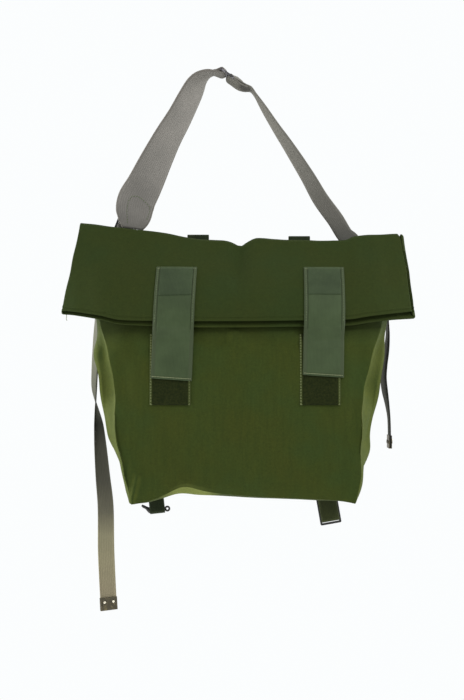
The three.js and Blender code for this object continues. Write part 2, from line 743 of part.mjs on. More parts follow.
const BAR_CORNER = Math.hypot(BAR_WIDTH, BAR_THICKNESS) / 2;
const WEB_WRAP = BAR_CORNER + SEAT_GAP + WEBBING / 2;
const PAD_WRAP = BAR_CORNER + SEAT_GAP + PAD_THICKNESS / 2;

// Distance between the rows of points along each run
const PAD_SPACING = 16;
const RETURN_SPACING = 6;
const LENS_SPACING = 5;
const WEB_SPACING = 13;

// A bar of the top slide; side is -1 for the pad's bar and 1 for the webbing's
function topBar(side) {
  const lean = THREE.MathUtils.degToRad(TOP_SLIDE.lean);
  return {
    u: TOP_SLIDE.across + side * TOP_BAR_PITCH * Math.cos(lean),
    v: -TOP_SLIDE.down - side * TOP_BAR_PITCH * Math.sin(lean),
  };
}

function shoulderPad() {
  const along = PAD_ROUTE.map((row) => station(
    PAD_REACH * row.across,
    SLIDE_BACK * row.back,
    -PAD_DROP * row.down,
    row.turn,
    PAD_WIDTH * row.width,
  ));
  const endPlace = (x, z) => station(x, 0, z, 90, PAD_END_WIDTH);
  const wrap = barWrap(topBar(-1), PAD_WRAP, { from: -100, to: 110 }, endPlace);
  const back = PAD_RETURN.map((row) => endPlace(PAD_END_WIDTH * row.across, PAD_END_WIDTH * row.up));
  const stations = [
    ...smoothStations(along, PAD_SPACING),
    ...wrap,
    ...smoothStations(back, RETURN_SPACING),
  ];
  const geometry = sheetSolid(ribbonRows(stations, 2), PAD_THICKNESS);
  return meshOf('shoulder_pad', geometry, fabric(padColour, 0.85));
}

// Through a side slide: over the upper bar, under the middle one and out over the lower one.
// along: share of BAR_PITCH down the webbing, out: share of WEB_WRAP behind the slide's middle.
const SLIDE_CROSSING = [
  { along: -1.7, out: 0.1 },
  { along: -1.25, out: 0.72 },
  { along: -1, out: 0.84 },
  { along: -0.75, out: 0.66 },
  { along: -0.5, out: 0 },
  { along: -0.25, out: -0.68 },
  { along: 0, out: -0.84 },
  { along: 0.2, out: -0.72 },
  { along: 0.42, out: 0.2 },
  { along: 0.62, out: 1.1 },
  { along: 0.82, out: 1.6 },
  { along: 1.05, out: 1.72 },
  { along: 1.6, out: 1.72 },
];

function slideFrame(slide) {
  const lean = THREE.MathUtils.degToRad(slide.lean);
  return {
    middle: new THREE.Vector3(slide.across, SLIDE_BACK, -slide.down),
    down: new THREE.Vector3(-Math.sin(lean), 0, -Math.cos(lean)),
    across: new THREE.Vector3(Math.cos(lean), 0, -Math.sin(lean)),
  };
}

function slideCrossing(slide) {
  const frame = slideFrame(slide);
  return SLIDE_CROSSING.map((row) => {
    const at = frame.middle.clone().addScaledVector(frame.down, BAR_PITCH * row.along);
    at.y += WEB_WRAP * row.out;
    return { at, turn: 0, width: WEB_WIDTH };
  });
}

function routeToSlide(route, slide) {
  return route.map((row) => station(
    slide.across * row.across,
    SLIDE_BACK * row.back,
    -slide.down * row.down,
    row.turn,
    WEB_WIDTH,
  ));
}

function tailStations(route, slide, drop) {
  return route.map((row) => station(
    slide.across + WEB_WIDTH * row.across,
    SLIDE_BACK * row.back,
    -slide.down - drop * row.down,
    row.turn,
    WEB_WIDTH,
  ));
}

const rightTail = tailStations(RIGHT_TAIL_ROUTE, RIGHT_SLIDE, RIGHT_TAIL);
const leftTail = tailStations(LEFT_TAIL_ROUTE, LEFT_SLIDE, LEFT_TAIL);

function strapWebRight() {
  const bar = topBar(1);
  const edgeOn = (x, z) => station(x, 0, z, 90, WEB_WIDTH);
  const beside = (row) => edgeOn(bar.u + LENS_LENGTH * row.along, bar.v - LENS_LENGTH * row.down);
  const upper = smoothStations(LENS_UPPER.map(beside), LENS_SPACING);
  const wrap = barWrap(bar, WEB_WRAP, { from: 70, to: 280 }, edgeOn);
  const rest = [
    ...LENS_LOWER.map(beside),
    ...routeToSlide(RIGHT_ROUTE, RIGHT_SLIDE),
    ...slideCrossing(RIGHT_SLIDE),
    ...rightTail,
  ];
  const rows = ribbonRows([...upper, ...wrap, ...smoothStations(rest, WEB_SPACING)], 1);
  return meshOf('strap_web_right', sheetSolid(rows, WEBBING), fabric(webColour, 0.85));
}

function strapWebLeft() {
  const rest = [...routeToSlide(LEFT_ROUTE, LEFT_SLIDE), ...slideCrossing(LEFT_SLIDE), ...leftTail];
  const rows = ribbonRows(smoothStations(rest, WEB_SPACING), 1);
  return meshOf('strap_web_left', sheetSolid(rows, WEBBING), fabric(webColour, 0.85));
}

// A flat metal slide: bars across, held by two sides. bars: places along the webbing, top first
function slideGeometry(bars) {
  const halfWidth = WEB_WIDTH / 2 + SLOT_PLAY / 2 + BAR_WIDTH;
  const top = bars[0] + BAR_WIDTH / 2;
  const bottom = bars[bars.length - 1] - BAR_WIDTH / 2;
  const outline = new THREE.Shape();
  outline.moveTo(-halfWidth + SLIDE_CORNER, bottom);
  outline.lineTo(halfWidth - SLIDE_CORNER, bottom);
  outline.quadraticCurveTo(halfWidth, bottom, halfWidth, bottom + SLIDE_CORNER);
  outline.lineTo(halfWidth, top - SLIDE_CORNER);
  outline.quadraticCurveTo(halfWidth, top, halfWidth - SLIDE_CORNER, top);
  outline.lineTo(-halfWidth + SLIDE_CORNER, top);
  outline.quadraticCurveTo(-halfWidth, top, -halfWidth, top - SLIDE_CORNER);
  outline.lineTo(-halfWidth, bottom + SLIDE_CORNER);
  outline.quadraticCurveTo(-halfWidth, bottom, -halfWidth + SLIDE_CORNER, bottom);
  const slotHalf = halfWidth - BAR_WIDTH;
  for (let i = 0; i + 1 < bars.length; i += 1) {
    const high = bars[i] - BAR_WIDTH / 2;
    const low = bars[i + 1] + BAR_WIDTH / 2;
    const slot = new THREE.Path();
    slot.moveTo(-slotHalf, low);
    slot.lineTo(-slotHalf, high);
    slot.lineTo(slotHalf, high);
    slot.lineTo(slotHalf, low);
    slot.lineTo(-slotHalf, low);
    outline.holes.push(slot);
  }
  const geometry = new THREE.ExtrudeGeometry(outline, {
    depth: BAR_THICKNESS,
    bevelEnabled: false,
    curveSegments: 3,
  });
  geometry.translate(0, 0, -BAR_THICKNESS / 2);
  return geometry;
}

function placeByAxes(mesh, at, across, along) {
  const out = across.clone().cross(along);
  mesh.quaternion.setFromRotationMatrix(new THREE.Matrix4().makeBasis(across, along, out));
  mesh.position.copy(at);
  return mesh;
}

function sideSlide(name, slide) {
  const frame = slideFrame(slide);
  const mesh = meshOf(name, slideGeometry([BAR_PITCH, 0, -BAR_PITCH]), metal(darkMetalColour, 0.5));
  return placeByAxes(mesh, frame.middle, frame.across, frame.down.clone().negate());
}

function strapSlide() {
  const lean = THREE.MathUtils.degToRad(TOP_SLIDE.lean);
  const bars = [TOP_BAR_PITCH, 0, -TOP_BAR_PITCH];
  const mesh = meshOf('strap_slide', slideGeometry(bars), metal(darkMetalColour, 0.4));
  const middle = new THREE.Vector3(TOP_SLIDE.across, 0, -TOP_SLIDE.down);
  const toPad = new THREE.Vector3(-Math.cos(lean), 0, Math.sin(lean));
  return placeByAxes(mesh, middle, new THREE.Vector3(0, 1, 0), toPad);
}

const BAG_BOTTOM = -STRAP_DROP - BAG_HEIGHT;

function buckleFrame(buckle) {
  const lean = THREE.MathUtils.degToRad(buckle.lean);
  return {
    middle: new THREE.Vector3(BAG_SHIFT + buckle.across, LOWER_BACK, BAG_BOTTOM - buckle.below),
    down: new THREE.Vector3(-Math.sin(lean), 0, -Math.cos(lean)),
    across: new THREE.Vector3(Math.cos(lean), 0, -Math.sin(lean)),
  };
}

const OVER_BAR = { from: 280, to: 80 };
const UNDER_BAR = { from: 260, to: 460 };

// A strip sewn to the back, taken round a bar and sewn down on itself.
// frame: the bar's middle and the strip's down direction. inner and outer: the two layers as rows of
// along, below the bar's middle, and back, behind the hang point.
function wrappedStrip(name, frame, radius, angles, inner, outer) {
  const place = (along, back) => {
    const at = frame.middle.clone().addScaledVector(frame.down, along);
    at.y = back;
    return { at, turn: 0, width: WEB_WIDTH };
  };
  const stations = [
    ...inner.map((row) => place(row.along, row.back)),
    ...barWrap({ u: 0, v: frame.middle.y }, radius, angles, place),
    ...outer.map((row) => place(row.along, row.back)),
  ];
  return meshOf(name, sheetSolid(ribbonRows(stations, 1), WEBBING), fabric(darkWebColour, 0.9));
}

const LAYER_STEP = WEBBING + SEAT_GAP;
const BACK_ROOM = 0.4; // further room where the back behind the webbing is faceted
const ANCHOR_LENGTH = 42;

// Places along the anchor tab's two layers, as shares of ANCHOR_LENGTH below the bar. forward:
// layers in front of the slide's middle, where the tab hangs free of the back.
const ANCHOR_INNER = { sewn: [1, 0.75, 0.5], free: 0.22, forward: 3.2 };
const ANCHOR_OUTER = { sewn: [0.5, 0.75, 0.96], free: 0.24, forward: 1 };

// The webbing tab that holds a side slide by its lower bar
function anchorTab(name, slide) {
  const frame = slideFrame(slide);
  frame.middle.addScaledVector(frame.down, BAR_PITCH);
  const rise = foldRise(acrossOf(frame.middle.x));
  const onBack = (along) => {
    const up = frame.middle.z + frame.down.z * along;
    return pouchBackAt(up - rise * riseShare(up)) + SEAT_GAP + WEBBING / 2 + BACK_ROOM;
  };
  const sewn = (layer, offset) => layer.sewn.map((share) => {
    const along = ANCHOR_LENGTH * share;
    return { along, back: onBack(along) + offset };
  });
  const free = (layer) => ({
    along: ANCHOR_LENGTH * layer.free,
    back: SLIDE_BACK - LAYER_STEP * layer.forward,
  });
  const inner = [...sewn(ANCHOR_INNER, 0), free(ANCHOR_INNER)];
  const outer = [free(ANCHOR_OUTER), ...sewn(ANCHOR_OUTER, LAYER_STEP)];
  return wrappedStrip(name, frame, WEB_WRAP, OVER_BAR, inner, outer);
}

const anchorLeft = anchorTab('anchor_tab_left', LEFT_SLIDE);
const anchorRight = anchorTab('anchor_tab_right', RIGHT_SLIDE);

// Places along the lower webbings' two layers, above (-) and below (+) the bag's lower edge
const LOWER_INNER = { seam: -LOWER_SEAM, flat: -6, free: 3 };
const LOWER_OUTER = { seam: -LOWER_SEAM + 2, flat: -10, free: 3 };

// A short webbing sewn under the back's lower edge, hanging down round its buckle's bar
function lowerWeb(name, buckle, barDrop, radius) {
  const frame = buckleFrame(buckle);
  frame.middle.addScaledVector(frame.down, barDrop);
  const edge = (BAG_BOTTOM - frame.middle.z) / frame.down.z;
  const onBack = BACK_REACH + SEAT_GAP + WEBBING / 2;
  const inner = [
    { along: edge + LOWER_INNER.seam, back: onBack },
    { along: edge + LOWER_INNER.flat, back: onBack },
    { along: edge + LOWER_INNER.free, back: LOWER_BACK - radius },
  ];
  const outer = [
    { along: edge + LOWER_OUTER.free, back: LOWER_BACK + radius },
    { along: edge + LOWER_OUTER.flat, back: onBack + LAYER_STEP },
    { along: edge + LOWER_OUTER.seam, back: onBack + LAYER_STEP },
  ];
  return wrappedStrip(name, frame, radius, UNDER_BAR, inner, outer);
}

function solidOf(geometry) {
  const bare = new THREE.BufferGeometry();
  bare.setAttribute('position', geometry.getAttribute('position'));
  bare.setIndex(geometry.getIndex());
  const merged = mergeVertices(bare, 1e-4);
  return new wasm.Manifold(new wasm.Mesh({
    numProp: 3,
    vertProperties: new Float32Array(merged.getAttribute('position').array),
    triVerts: new Uint32Array(merged.getIndex().array),
  }));
}

function geometryOfSolid(solid) {
  const { vertProperties, triVerts } = solid.getMesh();
  const geometry = new THREE.BufferGeometry();
  geometry.setAttribute('position', new THREE.Float32BufferAttribute(vertProperties, 3));
  geometry.setIndex(new THREE.Uint32BufferAttribute(triVerts, 1));
  geometry.computeVertexNormals();
  return geometry;
}

function joined(geometries) {
  const solid = geometries.map(solidOf).reduce((a, b) => a.add(b));
  return geometryOfSolid(solid);
}

// The left buckle's parts beside its rod, as shares of ROD_RADIUS from the rod's ends: outward along
// the rod and up from it
const NEAR_KNOB = { radius: 1.35, outward: 0, up: 0 };
const FAR_KNOB = { radius: 1.15, outward: 2.9, up: 1.7 };
const KNOB_ARM = { radius: 0.6, length: 4, outward: 1.3, up: 0.8, tilt: 60 };
const EYE = { radius: 1.4, wire: 0.6, outward: 1.2 };

function knobGeometry(knob) {
  const geometry = new THREE.SphereGeometry(ROD_RADIUS * knob.radius, 10, 8);
  geometry.translate(-ROD_LENGTH / 2 - ROD_RADIUS * knob.outward, ROD_RADIUS * knob.up, 0);
  return geometry;
}

// The left buckle: a rod with two knobs at one end and an eye at the other
function lowerBuckleLeft() {
  const rod = new THREE.CylinderGeometry(ROD_RADIUS, ROD_RADIUS, ROD_LENGTH, 12);
  rod.rotateZ(Math.PI / 2);
  const armRadius = ROD_RADIUS * KNOB_ARM.radius;
  const arm = new THREE.CylinderGeometry(armRadius, armRadius, ROD_RADIUS * KNOB_ARM.length, 10);
  arm.rotateZ(THREE.MathUtils.degToRad(KNOB_ARM.tilt));
  arm.translate(-ROD_LENGTH / 2 - ROD_RADIUS * KNOB_ARM.outward, ROD_RADIUS * KNOB_ARM.up, 0);
  const eye = new THREE.TorusGeometry(ROD_RADIUS * EYE.radius, ROD_RADIUS * EYE.wire, 8, 16);
  eye.translate(ROD_LENGTH / 2 + ROD_RADIUS * EYE.outward, 0, 0);
  const solid = joined([rod, knobGeometry(NEAR_KNOB), arm, knobGeometry(FAR_KNOB), eye]);
  const mesh = meshOf('lower_buckle_left', solid, metal(darkMetalColour, 0.45));
  const frame = buckleFrame(LEFT_BUCKLE);
  return placeByAxes(mesh, frame.middle, frame.across, frame.down.clone().negate());
}

// The right buckle: a flat frame whose inner bar carries the webbing
function lowerBuckleRight() {
  const bars = [FRAME_REACH, -FRAME_INNER_BAR, -FRAME_REACH];
  const mesh = meshOf('lower_buckle_right', slideGeometry(bars), metal(darkMetalColour, 0.45));
  const frame = buckleFrame(RIGHT_BUCKLE);
  return placeByAxes(mesh, frame.middle, frame.across, frame.down.clone().negate());
}

// A webbing loop on the back, its rounded top above the fold
function topLoop(name, centre) {
  const top = -STRAP_DROP + foldRise(acrossOf(centre)) + TOP_LOOP_RISE;
  const low = top - TOP_LOOP_LENGTH;
  const room = SEAT_GAP + WEBBING / 2 + BACK_ROOM;
  const upper = NECK_MIDDLE + STACK / 2 + room;
  const lower = pouchBackAt(low) + room;
  const across = TOP_LOOP_WIDTH / 2;
  const place = (back, up) => [
    new THREE.Vector3(centre - across, back, up),
    new THREE.Vector3(centre + across, back, up),
  ];
  const bend = { u: upper + TOP_LOOP_BEND, v: top - TOP_LOOP_BEND - WEBBING / 2 };
  const rows = [
    place(lower, low),
    place(upper, -NECK_DROP),
    ...barWrap(bend, TOP_LOOP_BEND, { from: 180, to: 0 }, place),
    place(upper + 2 * TOP_LOOP_BEND, -NECK_DROP),
    place(lower + LAYER_STEP, low),
  ];
  return meshOf(name, sheetSolid(rows, WEBBING), fabric(darkWebColour, 0.9));
}

// A crimped metal tip: two cheeks and a fold round the tail's end, with two rivets' heads
function tailTip(name, tail) {
  const end = tail[tail.length - 1];
  const before = tail[tail.length - 2];
  const [row] = ribbonRows([before, end], 1).slice(1);
  const along = end.at.clone().sub(before.at).normalize();
  const across = row[1].clone().sub(row[0]);
  across.addScaledVector(along, -across.dot(along)).normalize();
  const inside = WEBBING / 2 + SEAT_GAP;
  const outside = inside + TIP_METAL;
  const profile = new THREE.Shape();
  profile.moveTo(-outside, -TIP_LENGTH);
  profile.lineTo(-inside, -TIP_LENGTH);
  profile.lineTo(-inside, SEAT_GAP);
  profile.lineTo(inside, SEAT_GAP);
  profile.lineTo(inside, -TIP_LENGTH);
  profile.lineTo(outside, -TIP_LENGTH);
  profile.lineTo(outside, SEAT_GAP + TIP_METAL);
  profile.lineTo(-outside, SEAT_GAP + TIP_METAL);
  const width = WEB_WIDTH + 2 * TIP_METAL;
  const clip = new THREE.ExtrudeGeometry(profile, { depth: width, bevelEnabled: false });
  clip.translate(0, 0, -width / 2);
  const rivets = [];
  const height = RIVET_HEIGHT + TIP_METAL / 2;
  [-1, 1].forEach((face) => {
    [-RIVET_SPREAD, RIVET_SPREAD].forEach((share) => {
      const rivet = new THREE.CylinderGeometry(RIVET_RADIUS, RIVET_RADIUS, height, 12);
      const middle = face * (outside + (RIVET_HEIGHT - TIP_METAL / 2) / 2);
      rivet.rotateZ(Math.PI / 2);
      rivet.translate(middle, -TIP_LENGTH * RIVET_FROM_END, width * share);
      rivets.push(rivet);
    });
  });
  const mesh = meshOf(name, joined([clip, ...rivets]), metal(tipColour, 0.5));
  return placeByAxes(mesh, end.at, along.clone().cross(across), along);
}

const bag = new THREE.Group();
bag.add(pouch());
bag.add(foldOverTop());
[['left', -1], ['right', 1]].forEach(([name, side]) => {
  bag.add(closingTab(`tab_${name}`, side));
  bag.add(loopPatch(`loop_patch_${name}`, side));
});
bag.add(topLoop('top_loop_left', BAG_SHIFT + LEFT_LOOP));
bag.add(topLoop('top_loop_right', BAG_SHIFT + RIGHT_LOOP));
bag.add(shoulderPad());
bag.add(strapWebLeft());
bag.add(strapWebRight());
bag.add(strapSlide());
bag.add(sideSlide('side_slide_left', LEFT_SLIDE));
bag.add(sideSlide('side_slide_right', RIGHT_SLIDE));
bag.add(anchorLeft);
bag.add(anchorRight);
bag.add(tailTip('tail_tip_left', leftTail));
bag.add(tailTip('tail_tip_right', rightTail));
bag.add(lowerWeb('lower_web_left', LEFT_BUCKLE, 0, ROD_RADIUS + SEAT_GAP + WEBBING / 2));
bag.add(lowerWeb('lower_web_right', RIGHT_BUCKLE, FRAME_INNER_BAR, WEB_WRAP));
bag.add(lowerBuckleLeft());
bag.add(lowerBuckleRight());

export default bag;
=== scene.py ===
# Looks of a canvas shoulder bag with a fold-over top, as it hangs by its shoulder strap
import math

import bpy
import numpy as np
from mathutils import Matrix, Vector, noise


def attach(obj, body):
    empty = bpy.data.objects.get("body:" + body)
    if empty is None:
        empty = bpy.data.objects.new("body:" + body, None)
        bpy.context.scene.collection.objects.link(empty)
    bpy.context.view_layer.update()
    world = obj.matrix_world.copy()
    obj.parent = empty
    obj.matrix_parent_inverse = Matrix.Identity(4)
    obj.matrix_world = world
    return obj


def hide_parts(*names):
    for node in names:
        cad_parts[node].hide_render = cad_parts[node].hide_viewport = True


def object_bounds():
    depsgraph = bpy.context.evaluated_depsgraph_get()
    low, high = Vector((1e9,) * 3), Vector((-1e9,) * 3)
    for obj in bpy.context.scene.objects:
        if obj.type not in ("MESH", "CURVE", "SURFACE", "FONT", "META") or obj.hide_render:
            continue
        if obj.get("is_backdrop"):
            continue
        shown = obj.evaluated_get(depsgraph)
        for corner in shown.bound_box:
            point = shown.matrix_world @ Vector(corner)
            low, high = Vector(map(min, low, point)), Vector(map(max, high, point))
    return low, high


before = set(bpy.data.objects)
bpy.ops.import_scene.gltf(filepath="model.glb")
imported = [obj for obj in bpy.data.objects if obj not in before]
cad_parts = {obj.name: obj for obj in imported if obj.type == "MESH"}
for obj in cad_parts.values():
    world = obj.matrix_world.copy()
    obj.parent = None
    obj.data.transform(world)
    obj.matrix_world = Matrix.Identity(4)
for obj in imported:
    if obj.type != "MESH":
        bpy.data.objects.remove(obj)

cad_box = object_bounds()
MM = 0.001

# The level camera's place and the height that its picture takes in at the strap, in metres
CAMERA_PLACE = (0.0232, -1.5, -0.3367)
FRAME_HEIGHT = 0.854
LIGHT_AIM = (0.03, 0, -0.4)
# place, size, power
SOFTBOXES = {
    "softbox_left": ((-1.5, 0.35, -0.3), (0.9, 1.6), 60),
    "softbox_right": ((1.6, 0.35, -0.3), (0.9, 1.6), 41),
    "softbox_top": ((0.2, -1.0, 1.3), (1.2, 0.8), 12),
    "softbox_key": ((1.0, -1.3, 0.75), (0.5, 0.5), 17),
    "softbox_low": ((-0.9, -0.7, -1.45), (0.8, 0.8), 11),
}

# height of the noise, colour of the canvas
CANVAS_COLOURS = [
    (0.35, (0.023, 0.0376, 0.0079)), (0.5, (0.0266, 0.0369, 0.006)), (0.66, (0.0295, 0.0362, 0.0053)),
]
# height in metres, colour of the strap's webbing
WEBBING_COLOURS = [
    (-0.64, (0.184, 0.1593, 0.1035)), (-0.60, (0.2162, 0.1956, 0.1215)), (-0.57, (0.2162, 0.2002, 0.126)),
    (-0.54, (0.1104, 0.1047, 0.0747)), (-0.50, (0.0644, 0.0619, 0.0486)), (-0.46, (0.0506, 0.0491, 0.0387)),
    (-0.43, (0.008, 0.009, 0.006)), (-0.39, (0.04, 0.041, 0.03)), (-0.34, (0.088, 0.089, 0.064)),
    (-0.21, (0.0782, 0.0783, 0.0702)), (-0.16, (0.1196, 0.1147, 0.1008)), (0.0, (0.1306, 0.1256, 0.1098)),
]

# Sizes in millimetres, most of them those of the part
CANVAS = 2
WEBBING = 1.5
PAD_THICKNESS = 2.5
TAB_THICKNESS = 2
PATCH_THICKNESS = 1.6
SEAT_GAP = 0.3
STRAP_DROP = 201.5
BAG_SHIFT = 36
BAG_HEIGHT = 317
MOUTH_WIDTH = 398
POUCH_DEPTH = 96
BACK_REACH = 40
LAYER_GAP = 5
FOLD_BEND = 6
FOLD_TURN = 146
FLAP_DROP = 104
HEM_REACH = 52
HEM_CURVE = 30
TAB_SPREAD = 88.3
TAB_SHIFT = 6.7
TAB_TOP = 36
TAB_LENGTH = 134
TAB_SHORTER = 4
PATCH_WIDTH = 48
PATCH_LENGTH = 84
PATCH_END = 200
PATCH_OUTSET = 4
PATCH_GAP = 0.5
WEB_WIDTH = 20
PAD_WIDTH = 43
PAD_END_WIDTH = 20
SLIDE_BACK = 40
LEFT_SLIDE = (BAG_SHIFT - 0.3688 * MOUTH_WIDTH, STRAP_DROP - 16.3, 22)
RIGHT_SLIDE = (BAG_SHIFT + 0.3676 * MOUTH_WIDTH, STRAP_DROP + 11.2, -36)
PAD_REACH = -0.9335 * LEFT_SLIDE[0]
PAD_DROP = LEFT_SLIDE[1] + 3
LEFT_TAIL = 476
RIGHT_TAIL = 245.4
LENS_LENGTH = 22
BAR_WIDTH = 2.5
BAR_THICKNESS = 2.2
BAR_PITCH = 10
TOP_BAR_PITCH = 8.75
TOP_SLIDE = (17.1, 1.2, 35)
TOP_LOOP_WIDTH = 26
LEFT_LOOP = -55
RIGHT_LOOP = 71
TOP_LOOP_RISE = 6.5
TOP_LOOP_LENGTH = 46
TOP_LOOP_BEND = 1.65
LOWER_BACK = 42
LOWER_SEAM = 28
LEFT_BUCKLE = (-0.268 * MOUTH_WIDTH, 16.5, -6)
RIGHT_BUCKLE = (0.2729 * MOUTH_WIDTH, 19.5, -10)
ROD_RADIUS = 2
FRAME_INNER_BAR = 10.2

STACK = LAYER_GAP + 2 * CANVAS
NECK_MIDDLE = BACK_REACH - 9.5 - STACK / 2
NECK_DROP = STRAP_DROP + STACK / 2 + FOLD_BEND
NECK_CORNER = STACK / 2
BEND_SHARE = 0.3
HEM_SHARE = 0.9
BACK_CORNER = 0.6
CURVE_POWER = 3
UNDER_FLAP_GAP = 4.5
RISE_FADE = 0.3
LIFT_FADE = 0.15
BAG_BOTTOM = -STRAP_DROP - BAG_HEIGHT
EDGE_WANDER = 3.2
HEM_FOLD = 0.955
HEM_CURL = 3.7
TAB_SLANT = 1.6
ANCHOR_LENGTH = 42
SLANT = 80
BAR_CORNER = math.hypot(BAR_WIDTH, BAR_THICKNESS) / 2
WEB_WRAP = BAR_CORNER + SEAT_GAP + WEBBING / 2
PAD_WRAP = BAR_CORNER + SEAT_GAP + PAD_THICKNESS / 2
LAYER_STEP = WEBBING + SEAT_GAP
RIVET_RISE = 9.3
RIVET_SPREAD = 5.6

# Steps of the meshes
PANEL_STEPS = 130
GUSSET_STEPS = 10
RING = 4 * GUSSET_STEPS + 2 * PANEL_STEPS
PANEL_MIDDLE = GUSSET_STEPS + PANEL_STEPS // 2
POUCH_STEPS = 76
BEND_STEPS = 22
HANG_STEPS = 46
# along the fold, from where the hem's doubled edge starts
HEM_STEPS = [0.965, 0.97, 0.974, 0.978, 0.9825, 0.987, 0.991, 0.9955, 1.0]
BOTTOM_STEPS = 18
TAB_STEPS = 40
PANEL_ROWS = 23
PAD_COLUMNS = 12
WRAP_STEPS = 14
STITCH_SIDES = 6
# how far a tape's edge bulges, as a share of its thickness
EDGE_SHARE = 0.3
# along as a share of the length, radius as a share of a stitch's own
STITCH_SHAPE = ((-0.5, 0.35), (-0.28, 1), (0.28, 1), (0.5, 0.35))
# rise and radius of a rivet's head, in mm
RIVET_HEAD = ((0, 1.6), (0.4, 1.5), (0.75, 1.1), (0.9, 0.5))

# down as a share of BAG_HEIGHT, four edges as shares of MOUTH_WIDTH, front, back and curve of POUCH_DEPTH:
# down, left, right, front left, front right, front, back, curve
POUCH_LEVELS = [
    (1.0, -0.338, 0.339, -0.327, 0.333, 0.979, 0.02, 0.02),
    (0.96, -0.356, 0.351, -0.337, 0.34, 1.01, 0, 0.03),
    (0.896, -0.367, 0.364, -0.354, 0.351, 1.02, 0, 0.04),
    (0.817, -0.388, 0.382, -0.366, 0.348, 1.01, 0, 0.05),
    (0.754, -0.414, 0.387, -0.373, 0.352, 1.0, 0, 0.06),
    (0.681, -0.43, 0.401, -0.376, 0.353, 0.995, 0, 0.07),
    (0.596, -0.436, 0.413, -0.381, 0.357, 0.99, 0, 0.08),
    (0.511, -0.44, 0.425, -0.392, 0.374, 0.979, 0, 0.1),
    (0.413, -0.443, 0.433, -0.403, 0.397, 0.943, 0, 0.16),
    (0.325, -0.446, 0.442, -0.432, 0.422, None, 0.01, 0.27),
    (0.208, -0.465, 0.465, -0.45, 0.447, None, 0.042, 0.2),
    (0.114, -0.485, 0.485, -0.472, 0.47, None, 0.073, 0.09),
]

FRONT_LEFT, FRONT_RIGHT, FRONT, BACK, CURVE = range(3, 8)

# across, rise as a share of FLAP_DROP
FOLD_RISE = [
    (-1, 0.21), (-0.857, 0.185), (-0.696, 0.149), (-0.448, 0.078), (-0.324, 0.03), (-0.16, 0.008),
    (-0.1, 0.0), (-0.04, -0.03), (-0.02, -0.048), (-0.008, -0.06), (0.006, -0.052), (0.07, 0.012),
    (0.1, 0.024), (0.2, 0.01), (0.6, 0), (0.65, 0.01), (0.7, 0.05), (0.95, 0.081), (1, 0.081),
]
HEM_RISE = [
    (-1, 0.15), (-0.93, 0.14), (-0.766, 0.088), (-0.672, 0.044), (-0.5, 0.031), (0, 0.026),
    (0.4, 0.037), (0.612, 0.047), (0.738, 0.086), (1, 0.149),
]
# along the fold from the neck to the hem, its left and right ends in mm
FOLD_LEFT = [
    (0, -163), (0.185, -164.2), (0.324, -164.6), (0.455, -166.5), (0.585, -169.9), (0.715, -172.4),
    (0.845, -176.7), (1, -181),
]
FOLD_RIGHT = [(0, 235), (0.36, 235), (0.5, 236.2), (0.637, 238.2), (0.775, 239.5), (0.914, 241.6), (1, 243)]
# across, how far the inner layer hangs below the outer one, in mm
UNDER_LAYER = [(-1, 4), (-0.6, 5.2), (-0.3, 7), (0.6, 7.2), (0.85, 7.6), (1, 9)]
# height, how far the gusset is drawn in: 0 is round, 1 straight and more is hollow
GUSSET_FOLD = [
    (-518, 0.6), (-480, 1.0), (-440, 1.5), (-380, 2.0), (-330, 1.8), (-300, 1.0), (-250, 0.3), (-215, 0),
]
# across, lift of the bottom's edge as a share of POUCH_DEPTH
BOTTOM_LIFT = [
    (-0.67, 0), (-0.57, 0.015), (-0.48, 0.06), (-0.38, 0.12), (-0.27, 0.106), (0, 0.08),
    (0.44, 0.044), (0.56, 0.036), (0.68, 0),
]
# across, further lift of the front's lower edge in mm, where the bottom panel shows below it
FRONT_LIFT = [
    (-0.64, 0), (-0.54, 2), (-0.44, 5), (-0.36, 8.5), (-0.3, 8.5), (-0.22, 5.5), (-0.12, 3.5), (0.05, 2.4),
    (0.4, 2), (0.6, 0.8), (0.68, 0),
]

# shares of PAD_REACH, PAD_DROP and SLIDE_BACK, turn in degrees, share of PAD_WIDTH
PAD_ROUTE = [
    (-0.976, 0.985, 0.85, 0, 0.58), (-0.968, 0.955, 0.85, 0, 0.82), (-0.955, 0.9, 0.85, 0, 1.0),
    (-0.95, 0.85, 0.85, 2, 1.08), (-0.927, 0.798, 0.83, 3, 1.08), (-0.836, 0.707, 0.775, 18, 1.02),
    (-0.682, 0.538, 0.65, 34, 1), (-0.544, 0.395, 0.525, 43, 0.96), (-0.402, 0.266, 0.4, 51, 0.95),
    (-0.283, 0.145, 0.275, 57, 0.97), (-0.196, 0.063, 0.175, 64, 1), (-0.121, 0.019, 0.075, 77, 0.95),
    (-0.042, -0.004, 0, 90, 0.75), (0.013, -0.0066, 0, 90, 0.52),
]
# across and up from the slide's bar, as shares of PAD_END_WIDTH
PAD_RETURN = [(0.18, 0.22), (-0.12, 0.17), (-0.4, 0.14)]
# along and down from the slide's bar, as shares of LENS_LENGTH, turn in degrees
LENS_UPPER = [(0.86, 0.5, 88), (0.62, 0.34, 78), (0.4, 0.13, 70), (0.16, -0.09, 72)]
LENS_LOWER = [
    (-0.02, 0.12, 72), (0.22, 0.27, 66), (0.47, 0.41, 66), (0.73, 0.5, 76), (0.99, 0.56, 88),
]
# shares of the side slide's place across, down and back, turn in degrees
RIGHT_ROUTE = [
    (0.288, 0.124, 0.06, 88), (0.332, 0.182, 0.1, 78), (0.42, 0.296, 0.22, 68),
    (0.511, 0.407, 0.35, 56), (0.643, 0.578, 0.55, 38), (0.73, 0.701, 0.7, 22),
    (0.837, 0.82, 0.88, 6), (0.905, 0.908, 0.99, 0),
]
LEFT_ROUTE = [(0.856, 0.81, 0.93, 2), (0.905, 0.87, 0.935, 0)]
